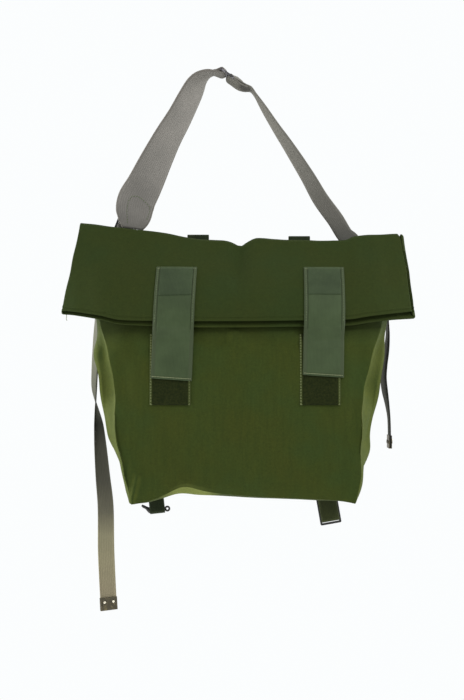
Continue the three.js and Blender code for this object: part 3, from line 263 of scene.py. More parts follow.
# across from the slide in widths of the webbing, shares of the tail's length and of SLIDE_BACK, turn
LEFT_TAIL_ROUTE = [
    (-0.72, 0.062, 1.14, 22), (-1.45, 0.147, 1.22, 58), (-1.8, 0.234, 1.18, 75),
    (-1.87, 0.341, 1.05, 62), (-1.92, 0.418, 1, 66), (-1.83, 0.457, 1, 84),
    (-1.65, 0.515, 1, 116), (-1.54, 0.573, 1, 130), (-1.39, 0.65, 1, 144),
    (-1.22, 0.726, 1, 156), (-1.18, 0.847, 1, 164), (-1.04, 0.976, 1, 161), (-1.01, 1, 1, 160),
]
RIGHT_TAIL_ROUTE = [
    (0.83, 0.122, 1.17, 40), (1.5, 0.25, 1.2, 75), (1.81, 0.399, 1.1, 88), (1.79, 0.44, 1, 86),
    (1.7, 0.51, 0.95, 80), (1.58, 0.586, 0.95, 80), (1.52, 0.648, 0.95, 77),
    (1.6, 0.713, 0.95, 77), (1.73, 0.774, 0.95, 84), (1.85, 0.846, 0.95, 90),
    (1.89, 0.942, 0.95, 90), (1.89, 1, 0.95, 90),
]
# down through a side slide as a share of BAR_PITCH, back as a share of WEB_WRAP
SLIDE_CROSSING = [
    (-1.7, 0.1), (-1.25, 0.72), (-1, 0.84), (-0.75, 0.66), (-0.5, 0), (-0.25, -0.68), (0, -0.84),
    (0.2, -0.72), (0.42, 0.2), (0.62, 1.1), (0.82, 1.6), (1.05, 1.72), (1.6, 1.72),
]

# Creases pressed into or standing out of the cloth: from x, z to x, z, depth, width, in mm
FRONT_CREASES = [
    (-95, -516, -88, -486, 3.6, 3.4),
    (-88, -486, -66, -430, 1.2, 10),
    (-104, -500, -98, -450, -1.2, 5),
    (182, -512, 160, -460, 1.8, 8),
    (-108, -345, -98, -420, -1.2, 8),
    (176, -350, 166, -430, -1.2, 9),
    (-95, -330, -40, -345, -1.6, 12),
    (-20, -322, 30, -330, -1.6, 7),
    (26, -312, 30, -326, 3.4, 6),
    (14, -312, 12, -330, -2.6, 7),
    (60, -322, 110, -330, -1.6, 7),
    (0, -345, 60, -352, -0.9, 16),
    (60, -500, 20, -440, 0.7, 16),
    (-40, -505, -70, -455, 0.8, 12),
]
FLAP_CREASES = [
    (30, -207, 26, -250, -2.4, 7),
    (26, -250, 44, -300, -0.8, 12),
    (-20, -205, -30, -240, 0.8, 12),
    (62, -203, 74, -240, 0.8, 12),
    (-75, -235, -110, -205, -1.0, 12),
    (160, -238, 190, -210, -1.0, 12),
    (-150, -200, -120, -285, 0.9, 18),
    (200, -215, 185, -290, 0.9, 16),
]
# Slow waves of the cloth: height, width and length in mm, step of the seed
POUCH_WAVES = [(2.8, 55, 140, 0), (1.2, 22, 60, 5)]
FLAP_WAVES = [(1.6, 75, 90, 0), (0.5, 20, 32, 5)]
# along the fold, how far the front layer ends short of the back one at the right, in mm
LAYER_STEP_IN = [(0.22, 6.6), (0.38, 3.9), (1, 4.3)]
# from the middle, height of the tab's face, in mm
TAB_PROFILE = [
    (0, 0.8), (8, 0.75), (14, 0.65), (18, 0.5), (19, 0.45), (19.6, -0.5), (20.3, -0.5), (20.8, 0.25),
    (22, 0.3), (23.1, 0.25), (23.7, 0),
]
# how far a tab's top and its end stand to the right of its place, in mm
TAB_LEAN = {-1: (2.6, -2.6), 1: (2.8, -0.5)}
# rows up from the pad's lower end, across from -1 to 1
PAD_SEAM = [
    (4, -0.8), (7, -0.86), (10, -0.8), (12, -0.55), (13, -0.2), (13, 0.05), (12, 0.3), (10, 0.4), (7, 0.42),
    (4, 0.42), (2, 0.42),
]
# across and up from the left buckle's middle, radius
BUCKLE_WIRE = [
    (-19.4, 3.5, 1.1), (-17, 2, 1.9), (-14.2, 0.6, 1.8), (-11.6, -1, 2.6), (-8.8, -3.4, 3.2),
    (-6, -4.6, 2.3), (0, -3.2, 1.6), (5, -2.6, 1.9), (8, -1.4, 2.8),
]
BUCKLE_EYE = (12.8, -0.5, 2.6)


# Camera and stage
def add(obj):
    bpy.context.scene.collection.objects.link(obj)
    return obj


def build_camera():
    data = bpy.data.cameras.new("camera")
    camera = add(bpy.data.objects.new("camera", data))
    camera.location = CAMERA_PLACE
    camera.rotation_euler = (math.radians(90), 0, 0)
    data.sensor_fit = "VERTICAL"
    data.sensor_height = 36
    data.lens = data.sensor_height * -CAMERA_PLACE[1] / FRAME_HEIGHT
    data.clip_end = 100
    bpy.context.scene.camera = camera


def area_light(name, place, size, power):
    data = bpy.data.lights.new(name, "AREA")
    data.shape = "RECTANGLE"
    data.size, data.size_y = size
    data.energy = power
    light = add(bpy.data.objects.new(name, data))
    light.location = place
    light.visible_camera = False
    light.rotation_euler = (Vector(LIGHT_AIM) - Vector(place)).to_track_quat("-Z", "Y").to_euler()


def build_stage():
    scene = bpy.context.scene
    scene.view_settings.view_transform = "Standard"
    scene.view_settings.look = "None"
    world = bpy.data.worlds.new("studio")
    world.use_nodes = True
    background = world.node_tree.nodes["Background"]
    background.inputs["Color"].default_value = (0.978, 0.995, 1, 1)
    background.inputs["Strength"].default_value = 0.99
    scene.world = world
    reach, low = 2600, -1600
    corners = [(-reach, -reach, low), (reach, -reach, low), (reach, reach, low), (-reach, reach, low)]
    material = bpy.data.materials.new("floor_white")
    material.use_nodes = True
    shader = material.node_tree.nodes["Principled BSDF"]
    shader.inputs["Base Color"].default_value = (0.93, 0.93, 0.92, 1)
    shader.inputs["Roughness"].default_value = 0.9
    mesh_piece("floor", corners, [(0, 1, 2, 3)], material)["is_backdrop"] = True
    for name, (place, size, power) in SOFTBOXES.items():
        area_light(name, place, size, power)


# Materials
class Shader:
    """A material under construction: node and link helpers round one Principled shader."""

    def __init__(self, name, roughness, metallic=0.0, sheen=0.0):
        self.material = bpy.data.materials.new(name)
        self.material.use_nodes = True
        self.tree = self.material.node_tree
        self.out = self.tree.nodes["Principled BSDF"]
        self.out.inputs["Roughness"].default_value = roughness
        self.out.inputs["Metallic"].default_value = metallic
        self.out.inputs["Specular IOR Level"].default_value = 0.5 if metallic else 0.08
        self.out.inputs["Sheen Weight"].default_value = sheen
        self.out.inputs["Sheen Roughness"].default_value = 0.5
        self.out.inputs["Sheen Tint"].default_value = (0.8, 0.9, 0.55, 1)

    def node(self, kind, values=(), **settings):
        made = self.tree.nodes.new(kind)
        for key, value in settings.items():
            setattr(made, key, value)
        for key, value in dict(values).items():
            if isinstance(value, bpy.types.NodeSocket):
                self.tree.links.new(value, made.inputs[key])
            else:
                made.inputs[key].default_value = value
        return made

    def math(self, operation, a, b=0.0, c=0.0):
        return self.node("ShaderNodeMath", {0: a, 1: b, 2: c}, operation=operation).outputs[0]

    def times(self, value, *factors):
        for factor in factors:
            value = self.math("MULTIPLY", value, factor)
        return value

    def between(self, value, low, high):
        """From 0 at the low value to 1 at the high one, and level past both."""
        ends = {"Value": value, "From Min": low, "From Max": high}
        return self.node("ShaderNodeMapRange", ends).outputs["Result"]

    def wave(self, distance, pitch):
        """From 0 to 1 and back once every pitch."""
        angle = self.math("MULTIPLY_ADD", distance, 2 * math.pi / pitch, 0)
        return self.math("MULTIPLY_ADD", self.math("SINE", angle), 0.5, 0.5)

    def noise(self, scale, detail=2.0, roughness=0.5, vector=None):
        vector = vector or self.places()
        values = {"Vector": vector, "Scale": scale, "Detail": detail, "Roughness": roughness}
        return self.node("ShaderNodeTexNoise", values).outputs["Fac"]

    def places(self):
        return self.node("ShaderNodeTexCoord").outputs["Object"]

    def axes(self, vector):
        return self.node("ShaderNodeSeparateXYZ", {"Vector": vector}).outputs.values()

    def cloth(self):
        """Distances across and along the cloth in millimetres."""
        return self.axes(self.node("ShaderNodeUVMap", uv_map="cloth").outputs["UV"])[:2]

    def ramp(self, factor, stops):
        made = self.node("ShaderNodeValToRGB", {"Fac": factor})
        elements = made.color_ramp.elements
        while len(elements) < len(stops):
            elements.new(0.5)
        for element, (position, colour) in zip(elements, stops):
            element.position = position
            element.color = (*colour, 1)
        return made.outputs["Color"]

    def mix(self, factor, a, b, blend="MIX"):
        a, b = ((*colour, 1) if isinstance(colour, tuple) else colour for colour in (a, b))
        made = self.node("ShaderNodeMix", {0: factor, 6: a, 7: b}, data_type="RGBA", blend_type=blend)
        return made.outputs[2]

    def colour(self, socket):
        self.tree.links.new(socket, self.out.inputs["Base Color"])

    def shaded(self, colour, light):
        """The base colour, darkened where the light value is low."""
        grey = self.node("ShaderNodeCombineColor", {0: light, 1: light, 2: light}).outputs["Color"]
        self.colour(self.mix(1.0, colour, grey, "MULTIPLY"))

    def bump(self, height, distance, strength):
        made = self.node("ShaderNodeBump", {"Height": height, "Distance": distance, "Strength": strength})
        self.tree.links.new(made.outputs["Normal"], self.out.inputs["Normal"])

    def woven(self, colour, rib, pick, depth):
        """A colour on ribs that run along the tape, with finer picks across them."""
        across, along = self.cloth()
        ribs, picks = self.wave(across, rib), self.wave(along, pick)
        self.shaded(colour, self.math("MULTIPLY_ADD", self.times(ribs, picks), 0.3, 0.85))
        height = self.math("ADD", ribs, self.times(picks, 0.5))
        self.bump(self.math("ADD", height, self.times(self.noise(500), 0.5)), depth, 0.5)


def canvas_material():
    """Dark green cotton canvas: a fine plain weave with streaks; painted shade darkens the fold-over top,
    painted side light lightens the gussets and painted light from below lightens the lower edge.
    """
    s = Shader("green_canvas", 0.9)
    colour = s.ramp(s.noise(14, 3, 0.6), CANVAS_COLOURS)
    upright = s.node("ShaderNodeMapping", {"Vector": s.places(), "Scale": (260, 260, 26)}).outputs["Vector"]
    colour = s.mix(s.times(s.noise(1, 2, 0.6, upright), 0.8), colour, (0.0173, 0.0256, 0.0045))
    x, _, z = s.axes(s.places())
    facing_x, _, facing_z = s.axes(s.node("ShaderNodeNewGeometry").outputs["Normal"])
    # painted shade: the canvas is darkened from just under the hem up over the fold
    on_fold = s.between(z, -0.33, -0.3)
    off_fold = s.math("SUBTRACT", 1.0, on_fold)
    colour = s.mix(s.times(on_fold, 0.5), colour, (0.0122, 0.0192, 0.0049))
    # painted side light: cloth that faces sideways, as on the gussets, is lightened in blotches, below the
    # fold only
    to_side = s.between(s.math("ABSOLUTE", facing_x), 0.2, 0.55)
    painted_side_light = s.times(to_side, s.noise(48, 4, 0.7), 1.35, off_fold)
    colour = s.mix(painted_side_light, colour, (0.043, 0.053, 0.0085))
    # painted light from below: cloth that faces down along the lifted front edge is lightened
    from_arch = s.math("ABSOLUTE", s.math("ADD", x, 0.026))
    painted_underside_light = s.times(s.between(facing_z, -0.3, -0.7), s.between(from_arch, 0.038, 0.018), off_fold, 0.75)
    colour = s.mix(painted_underside_light, colour, (0.12, 0.14, 0.035))
    across, along = s.cloth()
    weave = s.times(s.wave(across, 0.9), s.wave(along, 0.9))
    slubs = s.times(s.noise(420, 2, 0.7), 0.5)
    s.shaded(colour, s.math("ADD", s.math("MULTIPLY_ADD", weave, 0.3, 0.68), slubs))
    s.bump(s.math("ADD", s.times(weave, 0.6), s.times(s.noise(700), 0.7)), 0.00025, 0.7)
    return s.material


def tape_material(name, dark, light, rib, edge=None, edge_from=0.0, roughness=0.75, sheen=0.02):
    """Woven tape with ribs along it; an edge colour starts at a distance from its middle."""
    s = Shader(name, roughness, sheen=sheen)
    colour = s.ramp(s.noise(26, 3, 0.65), [(0.35, dark), (0.65, light)])
    if edge:
        outward = s.math("ABSOLUTE", s.cloth()[0])
        colour = s.mix(s.math("GREATER_THAN", outward, edge_from), colour, edge)
    s.woven(colour, rib, 0.8, 0.0002)
    return s.material


def webbing_material():
    """Grey cotton webbing, darkest partway down the long tail and tan towards its end, with painted shade on
    the right tail and beside the top slide.
    """
    s = Shader("strap_webbing", 0.85, sheen=0.02)
    x, _, z = s.axes(s.places())
    low, high = WEBBING_COLOURS[0][0], WEBBING_COLOURS[-1][0]
    stops = [((height - low) / (high - low), colour) for height, colour in WEBBING_COLOURS]
    colour = s.ramp(s.between(z, low, high), stops)
    # painted shade: the right tail is darkened where it hangs edge-on below its slide
    right_tail_shade = s.times(s.between(x, 0.17, 0.19), s.between(z, -0.24, -0.28))
    colour = s.mix(right_tail_shade, colour, (0.022, 0.022, 0.019))
    colour = s.mix(s.times(s.noise(22, 3, 0.65), 0.3), colour, (0.03, 0.029, 0.022))
    # painted shade: a dark spot beside the top slide, where the webbing's upper layer overlaps
    at_slide = s.node("ShaderNodeVectorMath", {0: s.places(), 1: (0.0395, 0, -0.0165)}, operation="DISTANCE")
    slide_shade = s.times(s.between(at_slide.outputs["Value"], 0.0105, 0.006), 0.65)
    s.woven(s.mix(slide_shade, colour, (0.02, 0.019, 0.019)), 2.2, 0.9, 0.00025)
    return s.material


def pile_material():
    """Dark looped pile with a plain lighter selvedge."""
    s = Shader("loop_pile", 1.0, sheen=0.02)
    colour = s.ramp(s.noise(420, 3, 0.7), [(0.35, (0.006, 0.0092, 0.0018)), (0.7, (0.0148, 0.0185, 0.0042))])
    selvedge = s.math("GREATER_THAN", s.math("ABSOLUTE", s.cloth()[0]), 21.2)
    s.colour(s.mix(selvedge, colour, (0.027, 0.035, 0.009)))
    s.bump(s.times(s.noise(1100, 3, 0.7), s.math("SUBTRACT", 1.0, selvedge)), 0.0008, 1.0)
    return s.material


def worn_metal(name, paint, bare, roughness, amount):
    """Dark painted metal, rubbed bright in small places."""
    s = Shader(name, roughness, metallic=0.2)
    s.colour(s.ramp(s.noise(180, 4, 0.7), [(1 - amount - 0.08, paint), (1 - amount, bare)]))
    s.bump(s.noise(600, 3), 0.0001, 0.6)
    return s.material


def thread_material(name, colour):
    s = Shader(name, 0.8, sheen=0.1)
    s.colour(s.ramp(s.noise(500), [(0.3, tuple(0.75 * c for c in colour)), (0.7, colour)]))
    s.bump(s.noise(2500), 0.0001, 0.8)
    return s.material


# Shapes shared by several pieces
def hermite(start, start_slope, end, end_slope, t):
    t2, t3 = t * t, t * t * t
    first = (2 * t3 - 3 * t2 + 1) * start + (t3 - 2 * t2 + t) * start_slope
    return first + (3 * t2 - 2 * t3) * end + (t3 - t2) * end_slope


def smooth(rows, at, column=1):
    """A smooth value from a table sorted by its first column, held level past its ends."""
    last = len(rows) - 1
    if at <= rows[0][0]:
        return rows[0][column]
    if at >= rows[last][0]:
        return rows[last][column]
    i = 0
    while rows[i + 1][0] < at:
        i += 1

    def slope(j):
        a, b = max(j - 1, 0), min(j + 1, last)
        return (rows[b][column] - rows[a][column]) / (rows[b][0] - rows[a][0])

    span = rows[i + 1][0] - rows[i][0]
    t = (at - rows[i][0]) / span
    return hermite(rows[i][column], slope(i) * span, rows[i + 1][column], slope(i + 1) * span, t)


def lerp(a, b, t):
    return a + (b - a) * t


def clamp(value, low=0.0, high=1.0):
    return max(low, min(high, value))


def ease(value, low, high):
    t = clamp((value - low) / (high - low))
    return t * t * (3 - 2 * t)


def put(obj, material_slot, *nodes):
    """The piece rides on the body and stands for CAD nodes, which it hides; material_slot is not used."""
    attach(obj, "root")
    if nodes:
        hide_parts(*nodes)
    return obj


def mesh_piece(name, points, faces, material, corner_uvs=None):
    """A smooth mesh from points in millimetres; corner_uvs has a pair for each corner of each face."""
    data = bpy.data.meshes.new(name)
    data.from_pydata([tuple(c * MM for c in p) for p in points], [], faces)
    uvs = corner_uvs or [(0, 0)] * len(data.loops)
    data.uv_layers.new(name="cloth").data.foreach_set("uv", [float(value) for uv in uvs for value in uv])
    data.polygons.foreach_set("use_smooth", [True] * len(data.polygons))
    data.materials.append(material)
    return add(bpy.data.objects.new(name, data))


def unit(vectors):
    return vectors / np.maximum(np.linalg.norm(vectors, axis=-1, keepdims=True), 1e-9)


def distances(line):
    """Distance along a line of points from its first one."""
    return np.r_[0, np.cumsum(np.linalg.norm(np.diff(line, axis=0), axis=1))]


def ring_faces(rings, count, start=0):
    """Faces that join each ring of points to the next."""
    faces = []
    for low in range(start, start + (rings - 1) * count, count):
        for i in range(count):
            k = (i + 1) % count
            faces.append((low + i, low + k, low + count + k, low + count + i))
    return faces


def ring_uvs(u, v):
    """Distances across and along the cloth for the corners of the same faces."""
    uvs = []
    for j in range(len(v) - 1):
        for i in range(len(u) - 1):
            uvs += [(u[i], v[j]), (u[i + 1], v[j]), (u[i + 1], v[j + 1]), (u[i], v[j + 1])]
    return uvs


def tape(name, rows, thickness, material):
    """Closed tape of even thickness round a grid of points, rows along its length."""
    grid = np.array(rows, float)
    columns = grid.shape[1]
    side = unit(np.gradient(grid, axis=1))
    half = unit(np.cross(side, np.gradient(grid, axis=0))) * thickness / 2
    reach = EDGE_SHARE * thickness
    right = grid[:, -1:] + side[:, -1:] * reach
    left = grid[:, :1] - side[:, :1] * reach
    rings = np.concatenate([grid + half, right, (grid - half)[:, ::-1], left], axis=1)
    count = rings.shape[1]
    width = distances(grid[len(grid) // 2])
    width -= width[-1] / 2
    u = np.r_[width, width[-1], width[::-1], width[0], width[0]]
    v = distances(grid[:, columns // 2])
    faces = ring_faces(len(grid), count)
    uvs = ring_uvs(u, v)
    ends = [(i, i + 1, 2 * columns - 1 - i, 2 * columns - i) for i in range(columns - 1)]
    ends += [(columns - 1, columns, columns + 1), (2 * columns, 2 * columns + 1, 0)]
    for start, along, turn in ((0, v[0], -1), ((len(grid) - 1) * count, v[-1], 1)):
        for corners in ends:
            faces.append(tuple(start + c for c in corners[::turn]))
            uvs += [(u[c], along) for c in corners[::turn]]
    return mesh_piece(name, rings.reshape(-1, 3), faces, material, uvs)


def declare_tape(rows):
    """Works out a tape's cut width, length and area before it was hung; nothing uses them."""
    grid = np.array(rows, float)
    widths = np.linalg.norm(np.diff(grid, axis=1), axis=2).sum(axis=1)
    lengths = np.linalg.norm(np.diff(grid, axis=0), axis=2).mean(axis=1)
    width, length = float(widths.max()) * MM, float(lengths.sum()) * MM
    area = float(((widths[1:] + widths[:-1]) / 2 * lengths).sum()) * MM * MM
    area = min(area, width * length)


def circle(middle, first, second, radius, sides):
    """Points round a middle in the plane of two directions."""
    turns = [2 * math.pi * k / sides for k in range(sides)]
    return [middle + (first * math.cos(turn) + second * math.sin(turn)) * radius for turn in turns]


def round_piece(name, solids, material):
    """One piece of several solids, each a list of rings that is closed at both ends."""
    points, faces = [], []
    for rings in solids:
        start, sides = len(points), len(rings[0])
        for ring in rings:
            points += ring
        faces += ring_faces(len(rings), sides, start)
        faces.append(tuple(range(start, start + sides))[::-1])
        faces.append(tuple(range(len(points) - sides, len(points))))
    return mesh_piece(name, points, faces, material)


def stitches(name, runs, material, pitch=3.2, length=2.3, radius=0.32):
    """Short threads laid end to end along each run, a list of points in millimetres."""
    threads = []
    for run in runs:
        line = [Vector(p) for p in run]
        lengths = distances(line)
        count = max(1, int(lengths[-1] / pitch))
        for n in range(count):
            at = (n + 0.5) * lengths[-1] / count
            i = min(np.searchsorted(lengths, at), len(line) - 1)
            middle = line[i - 1].lerp(line[i], (at - lengths[i - 1]) / (lengths[i] - lengths[i - 1]))
            way = (line[i] - line[i - 1]).normalized()
            aside = way.orthogonal().normalized()
            up = way.cross(aside)
            threads.append([
                circle(middle + way * length * share, aside, up, radius * size, STITCH_SIDES)
                for share, size in STITCH_SHAPE
            ])
    return round_piece(name, threads, material)


# The fold: a flattened tube over the bag's top edge
def across_of(x):
    return (x - BAG_SHIFT) / (MOUTH_WIDTH / 2)


def fold_rise(across):
    return FLAP_DROP * smooth(FOLD_RISE, across)


def fold_path(across, along):
    """Back and up of the mouth's middle, from the neck (0) over the crest to the hem (1)."""
    crest = -NECK_DROP + fold_rise(across)

    def turn_at(share):
        angle = math.radians(FOLD_TURN * share)
        back = NECK_MIDDLE - FOLD_BEND + FOLD_BEND * math.cos(angle)
        return back, crest + FOLD_BEND * math.sin(angle), angle

    if along <= BEND_SHARE:
        return turn_at(along / BEND_SHARE)[:2]
    back, up, angle = turn_at(1)
    hem_back = -HEM_REACH + HEM_CURVE * abs(across) ** CURVE_POWER
    hem_up = -STRAP_DROP - FLAP_DROP + FLAP_DROP * smooth(HEM_RISE, across)
    reach = math.hypot(back - hem_back, up - hem_up)
    t = (along - BEND_SHARE) / (1 - BEND_SHARE)
    return (
        hermite(back, -math.sin(angle) * reach, hem_back, 0, t),
        hermite(up, math.cos(angle) * reach, hem_up, -reach, t),
    )


def fold_point(across, along, x, outward):
    """A point beside the fold's middle; outward is positive on the flap's front."""
    before = fold_path(across, max(along - 0.002, 0))
    after = fold_path(across, min(along + 0.002, 1))
    middle = fold_path(across, along)
    back, up = after[0] - before[0], after[1] - before[1]
    length = math.hypot(back, up)
    return (x, middle[0] + outward * up / length, middle[1] - outward * back / length)


def fold_across(along):
    """Half the fold's width and its middle."""
    left, right = smooth(FOLD_LEFT, along), smooth(FOLD_RIGHT, along)
    return (right - left) / 2, (right + left) / 2


def flap_share_at(across, up, outward):
    """Where on the fold's front its height is up, found by halving."""
    low, high = BEND_SHARE, 1.0
    for _ in range(30):
        half = (low + high) / 2
        if fold_point(across, half, 0, outward)[2] > up:
            low = half
        else:
            high = half
    return low


# The pouch
def pouch_levels():
    """POUCH_LEVELS from the bottom up, in millimetres, with its height first and the neck's row last."""
    levels = []
    for down, left, right, front_left, front_right, front, back, curve in POUCH_LEVELS:
        up = -STRAP_DROP - BAG_HEIGHT * down
        if front is None:
            share = flap_share_at(0, up, -STACK / 2)
            front_at = fold_point(0, share, 0, -STACK / 2)[1] + UNDER_FLAP_GAP
        else:
            front_at = BACK_REACH - POUCH_DEPTH * front
        widths = [MOUTH_WIDTH * w for w in (left, right, front_left, front_right)]
        levels.append((up, *widths, front_at, BACK_REACH - POUCH_DEPTH * back, POUCH_DEPTH * curve))
    half = MOUTH_WIDTH / 2
    inner = half - NECK_CORNER
    neck_front, neck_back = NECK_MIDDLE - STACK / 2, NECK_MIDDLE + STACK / 2
    levels.append((-NECK_DROP - SEAT_GAP, -half, half, -inner, inner, neck_front, neck_back, 0))
    return levels


LEVELS = pouch_levels()
NECK_UP = LEVELS[-1][0]


def rise_share(up):
    return clamp(1 - (NECK_UP - up) / (BAG_HEIGHT * RISE_FADE))


def lift_share(up):
    return clamp(1 - (up - BAG_BOTTOM) / (BAG_HEIGHT * LIFT_FADE))


def lift_free(up):
    """1 on the pouch's sides, 0 at its bottom and at its neck."""
    return ease(up, BAG_BOTTOM, BAG_BOTTOM + 25) * (1 - ease(up, NECK_UP - 60, NECK_UP - 5))


def soft_noise(x, z, wide, tall, seed):
    return noise.noise(Vector((x / wide, z / tall, seed)))


def level_at(up, column):
    return np.interp(up, [level[0] for level in LEVELS], [level[column] for level in LEVELS])


def pouch_front_at(x, up):
    left, right = level_at(up, FRONT_LEFT), level_at(up, FRONT_RIGHT)
    across = 2 * (x - BAG_SHIFT - left) / (right - left) - 1
    return level_at(up, FRONT) + level_at(up, CURVE) * abs(across) ** CURVE_POWER


def panel_share(i):
    """Even steps that close up towards the panel's ends."""
    s = 2 * i / PANEL_STEPS - 1
    return 0.15 * s + 0.85 * math.sin(s * math.pi / 2)


def cloth_ring(left, right, front_left, front_right, front, back, curve, drawn_in=0.0, boxy=1.0):
    """Plan of the cloth: from the left edge along the front to the right edge and back again."""
    middle = (front + back) / 2
    ring = []

    def gusset(edge, corner, depth, steps):
        for i in steps:
            share = i / GUSSET_STEPS
            angle = share * math.pi / 2
            round_x = corner + (edge - corner) * math.cos(angle) ** boxy
            round_y = middle + (depth - middle) * math.sin(angle) ** boxy
            x = lerp(round_x, lerp(edge, corner, share), drawn_in)
            ring.append((x, lerp(round_y, lerp(middle, depth, share), drawn_in)))

    gusset(left, front_left, front + curve, range(GUSSET_STEPS))
    for i in range(PANEL_STEPS + 1):
        across = panel_share(i)
        x = lerp(front_left, front_right, (across + 1) / 2)
        ring.append((x, front + curve * abs(across) ** CURVE_POWER))
    gusset(right, front_right, front + curve, range(GUSSET_STEPS - 1, -1, -1))
    back_left = lerp(left, front_left, BACK_CORNER)
    back_right = lerp(right, front_right, BACK_CORNER)
    gusset(right, back_right, back, range(1, GUSSET_STEPS))
    for i in range(PANEL_STEPS, -1, -1):
        ring.append((lerp(back_left, back_right, (panel_share(i) + 1) / 2), back))
    gusset(left, back_left, back, range(GUSSET_STEPS - 1, 0, -1))
    return ring


def gusset_share(i):
    """1 in the middle of a side of the ring, 0 where the front or back panel starts."""
    steps = min(i, RING - i, abs(i - RING // 2))
    return ease(1 - steps / GUSSET_STEPS, 0, 0.5)


def pouch_row(up):
    values = [0] + [smooth(LEVELS, up, column) for column in range(1, len(LEVELS[0]))]
    wander = EDGE_WANDER * lift_free(up)
    values[FRONT_LEFT] += wander * soft_noise(up, 0, 34, 1, 41.3)
    values[FRONT_RIGHT] += wander * soft_noise(up, 0, 30, 1, 47.9)
    drawn_in = smooth(GUSSET_FOLD, up) + 0.35 * soft_noise(up, 0, 26, 1, 52.5)
    row = []
    for x, y in cloth_ring(*values[1:], drawn_in=drawn_in):
        across = across_of(x + BAG_SHIFT)
        front_share = clamp((values[BACK] - y) / (values[BACK] - values[FRONT])) ** 2
        lift = POUCH_DEPTH * smooth(BOTTOM_LIFT, across) + smooth(FRONT_LIFT, across) * front_share
        row.append((x + BAG_SHIFT, y, up + fold_rise(across) * rise_share(up) + lift * lift_share(up)))
    return row


def fold_row(along):
    half, middle = fold_across(along)
    corner = half - NECK_CORNER
    boxy = lerp(1, 0.4, ease(along, 0, 0.12))
    longer = max(0, (along - HEM_SHARE) / (1 - HEM_SHARE))
    curl = HEM_CURL * ease(along, HEM_FOLD, 1)
    row = []
    for x, outward in cloth_ring(-half, half, -corner, corner, -STACK / 2, STACK / 2, 0, boxy=boxy):
        inner = 0.5 - outward / STACK
        x_at, y, z = fold_point(x / half, along, x + middle, outward + curl * inner)
        row.append((x_at, y, z - longer * smooth(UNDER_LAYER, x / half) * inner))
    return row


def crease_height(creases, x, z):
    total = 0.0
    for x0, z0, x1, z1, depth, width in creases:
        dx, dz = x1 - x0, z1 - z0
        length = dx * dx + dz * dz
        t = ((x - x0) * dx + (z - z0) * dz) / length
        inside = ease(t, -0.25, 0.15) * (1 - ease(t, 0.85, 1.25))
        if inside <= 0:
            continue
        distance = abs((x - x0) * dz - (z - z0) * dx) / math.sqrt(length)
        total += depth * inside * math.exp(-((distance / width) ** 2))
    return total


def waves(table, x, z, seed):
    return sum(height * soft_noise(x, z, wide, tall, seed + step) for height, wide, tall, step in table)


def pouch_relief(point, in_front, side_share):
    """How far the pouch's cloth stands out; side_share is 1 in the middle of a gusset."""
    x, y, z = point
    flat_bottom = 0.25 + 0.75 * ease(z, BAG_BOTTOM, BAG_BOTTOM + 30)
    soft = flat_bottom * waves(POUCH_WAVES, x, z, 3.1 if in_front else 8.7)
    if in_front:
        soft += crease_height(FRONT_CREASES, x, z)
    soft += 3.4 * side_share * soft_noise(y, z, 15, 38, 61.7)
    if x < BAG_SHIFT:
        ridge = lerp(14, -14, ease(z, -420, -300))
        soft += 3.2 * side_share * math.exp(-(((y - ridge) / 6) ** 2)) * ease(z, -440, -400)
    return soft * (1 - 0.7 * ease(z, -330, -300))


def flap_relief(point, along, outer):
    """How far the fold's cloth stands out; the outer layer shows its creases, seam and short edge."""
    x, y, z = point
    half, middle = fold_across(along)
    from_right = middle + half - x
    soft = waves(FLAP_WAVES, x, z, 14.2 if outer else 21.5)
    soft *= ease(from_right, 4, 24) * ease(2 * half - from_right, 2, 20)
    if outer:
        soft += crease_height(FLAP_CREASES, x, z)
        step = smooth(LAYER_STEP_IN, along)
        soft -= 2.6 * (1 - ease(from_right, step - 0.8, step + 0.4))
        soft -= 1.4 * math.exp(-(((from_right - step + 0.6) / 0.9) ** 2))
        soft -= 0.9 * math.exp(-(((along - 0.978) / 0.005) ** 2))
    return soft * ease(along, 0, 0.12) + 0.5 * ease(along, HEM_FOLD, HEM_FOLD + 0.01)


def pouch_part():
    """Rows of the pouch from its bottom to its neck, and how far each point stands out."""
    ups = [BAG_BOTTOM, BAG_BOTTOM + 0.8]
    ups += [lerp(BAG_BOTTOM + 2, NECK_UP, j / POUCH_STEPS) for j in range(POUCH_STEPS)]
    rows, relief = [], []
    for up in ups:
        row = pouch_row(up)
        middle = (row[PANEL_MIDDLE][1] + row[-PANEL_MIDDLE][1]) / 2
        free = ease(NECK_UP - up, 2, 26)
        rows.append(row)
        relief.append([free * pouch_relief(p, p[1] < middle, gusset_share(i)) for i, p in enumerate(row)])
    return rows, relief


def fold_part():
    """The same for the fold, from the neck over the crest to the hem; the ring's front turns inwards."""
    alongs = [BEND_SHARE * j / BEND_STEPS for j in range(BEND_STEPS)]
    alongs += [lerp(BEND_SHARE, HEM_STEPS[0], j / HANG_STEPS) for j in range(HANG_STEPS)]
    alongs += HEM_STEPS
    front_end = 2 * GUSSET_STEPS + PANEL_STEPS
    rows, relief = [], []
    for along in alongs:
        row = fold_row(along)
        rows.append(row)
        relief.append([flap_relief(p, along, i >= front_end) for i, p in enumerate(row)])
    return rows, relief


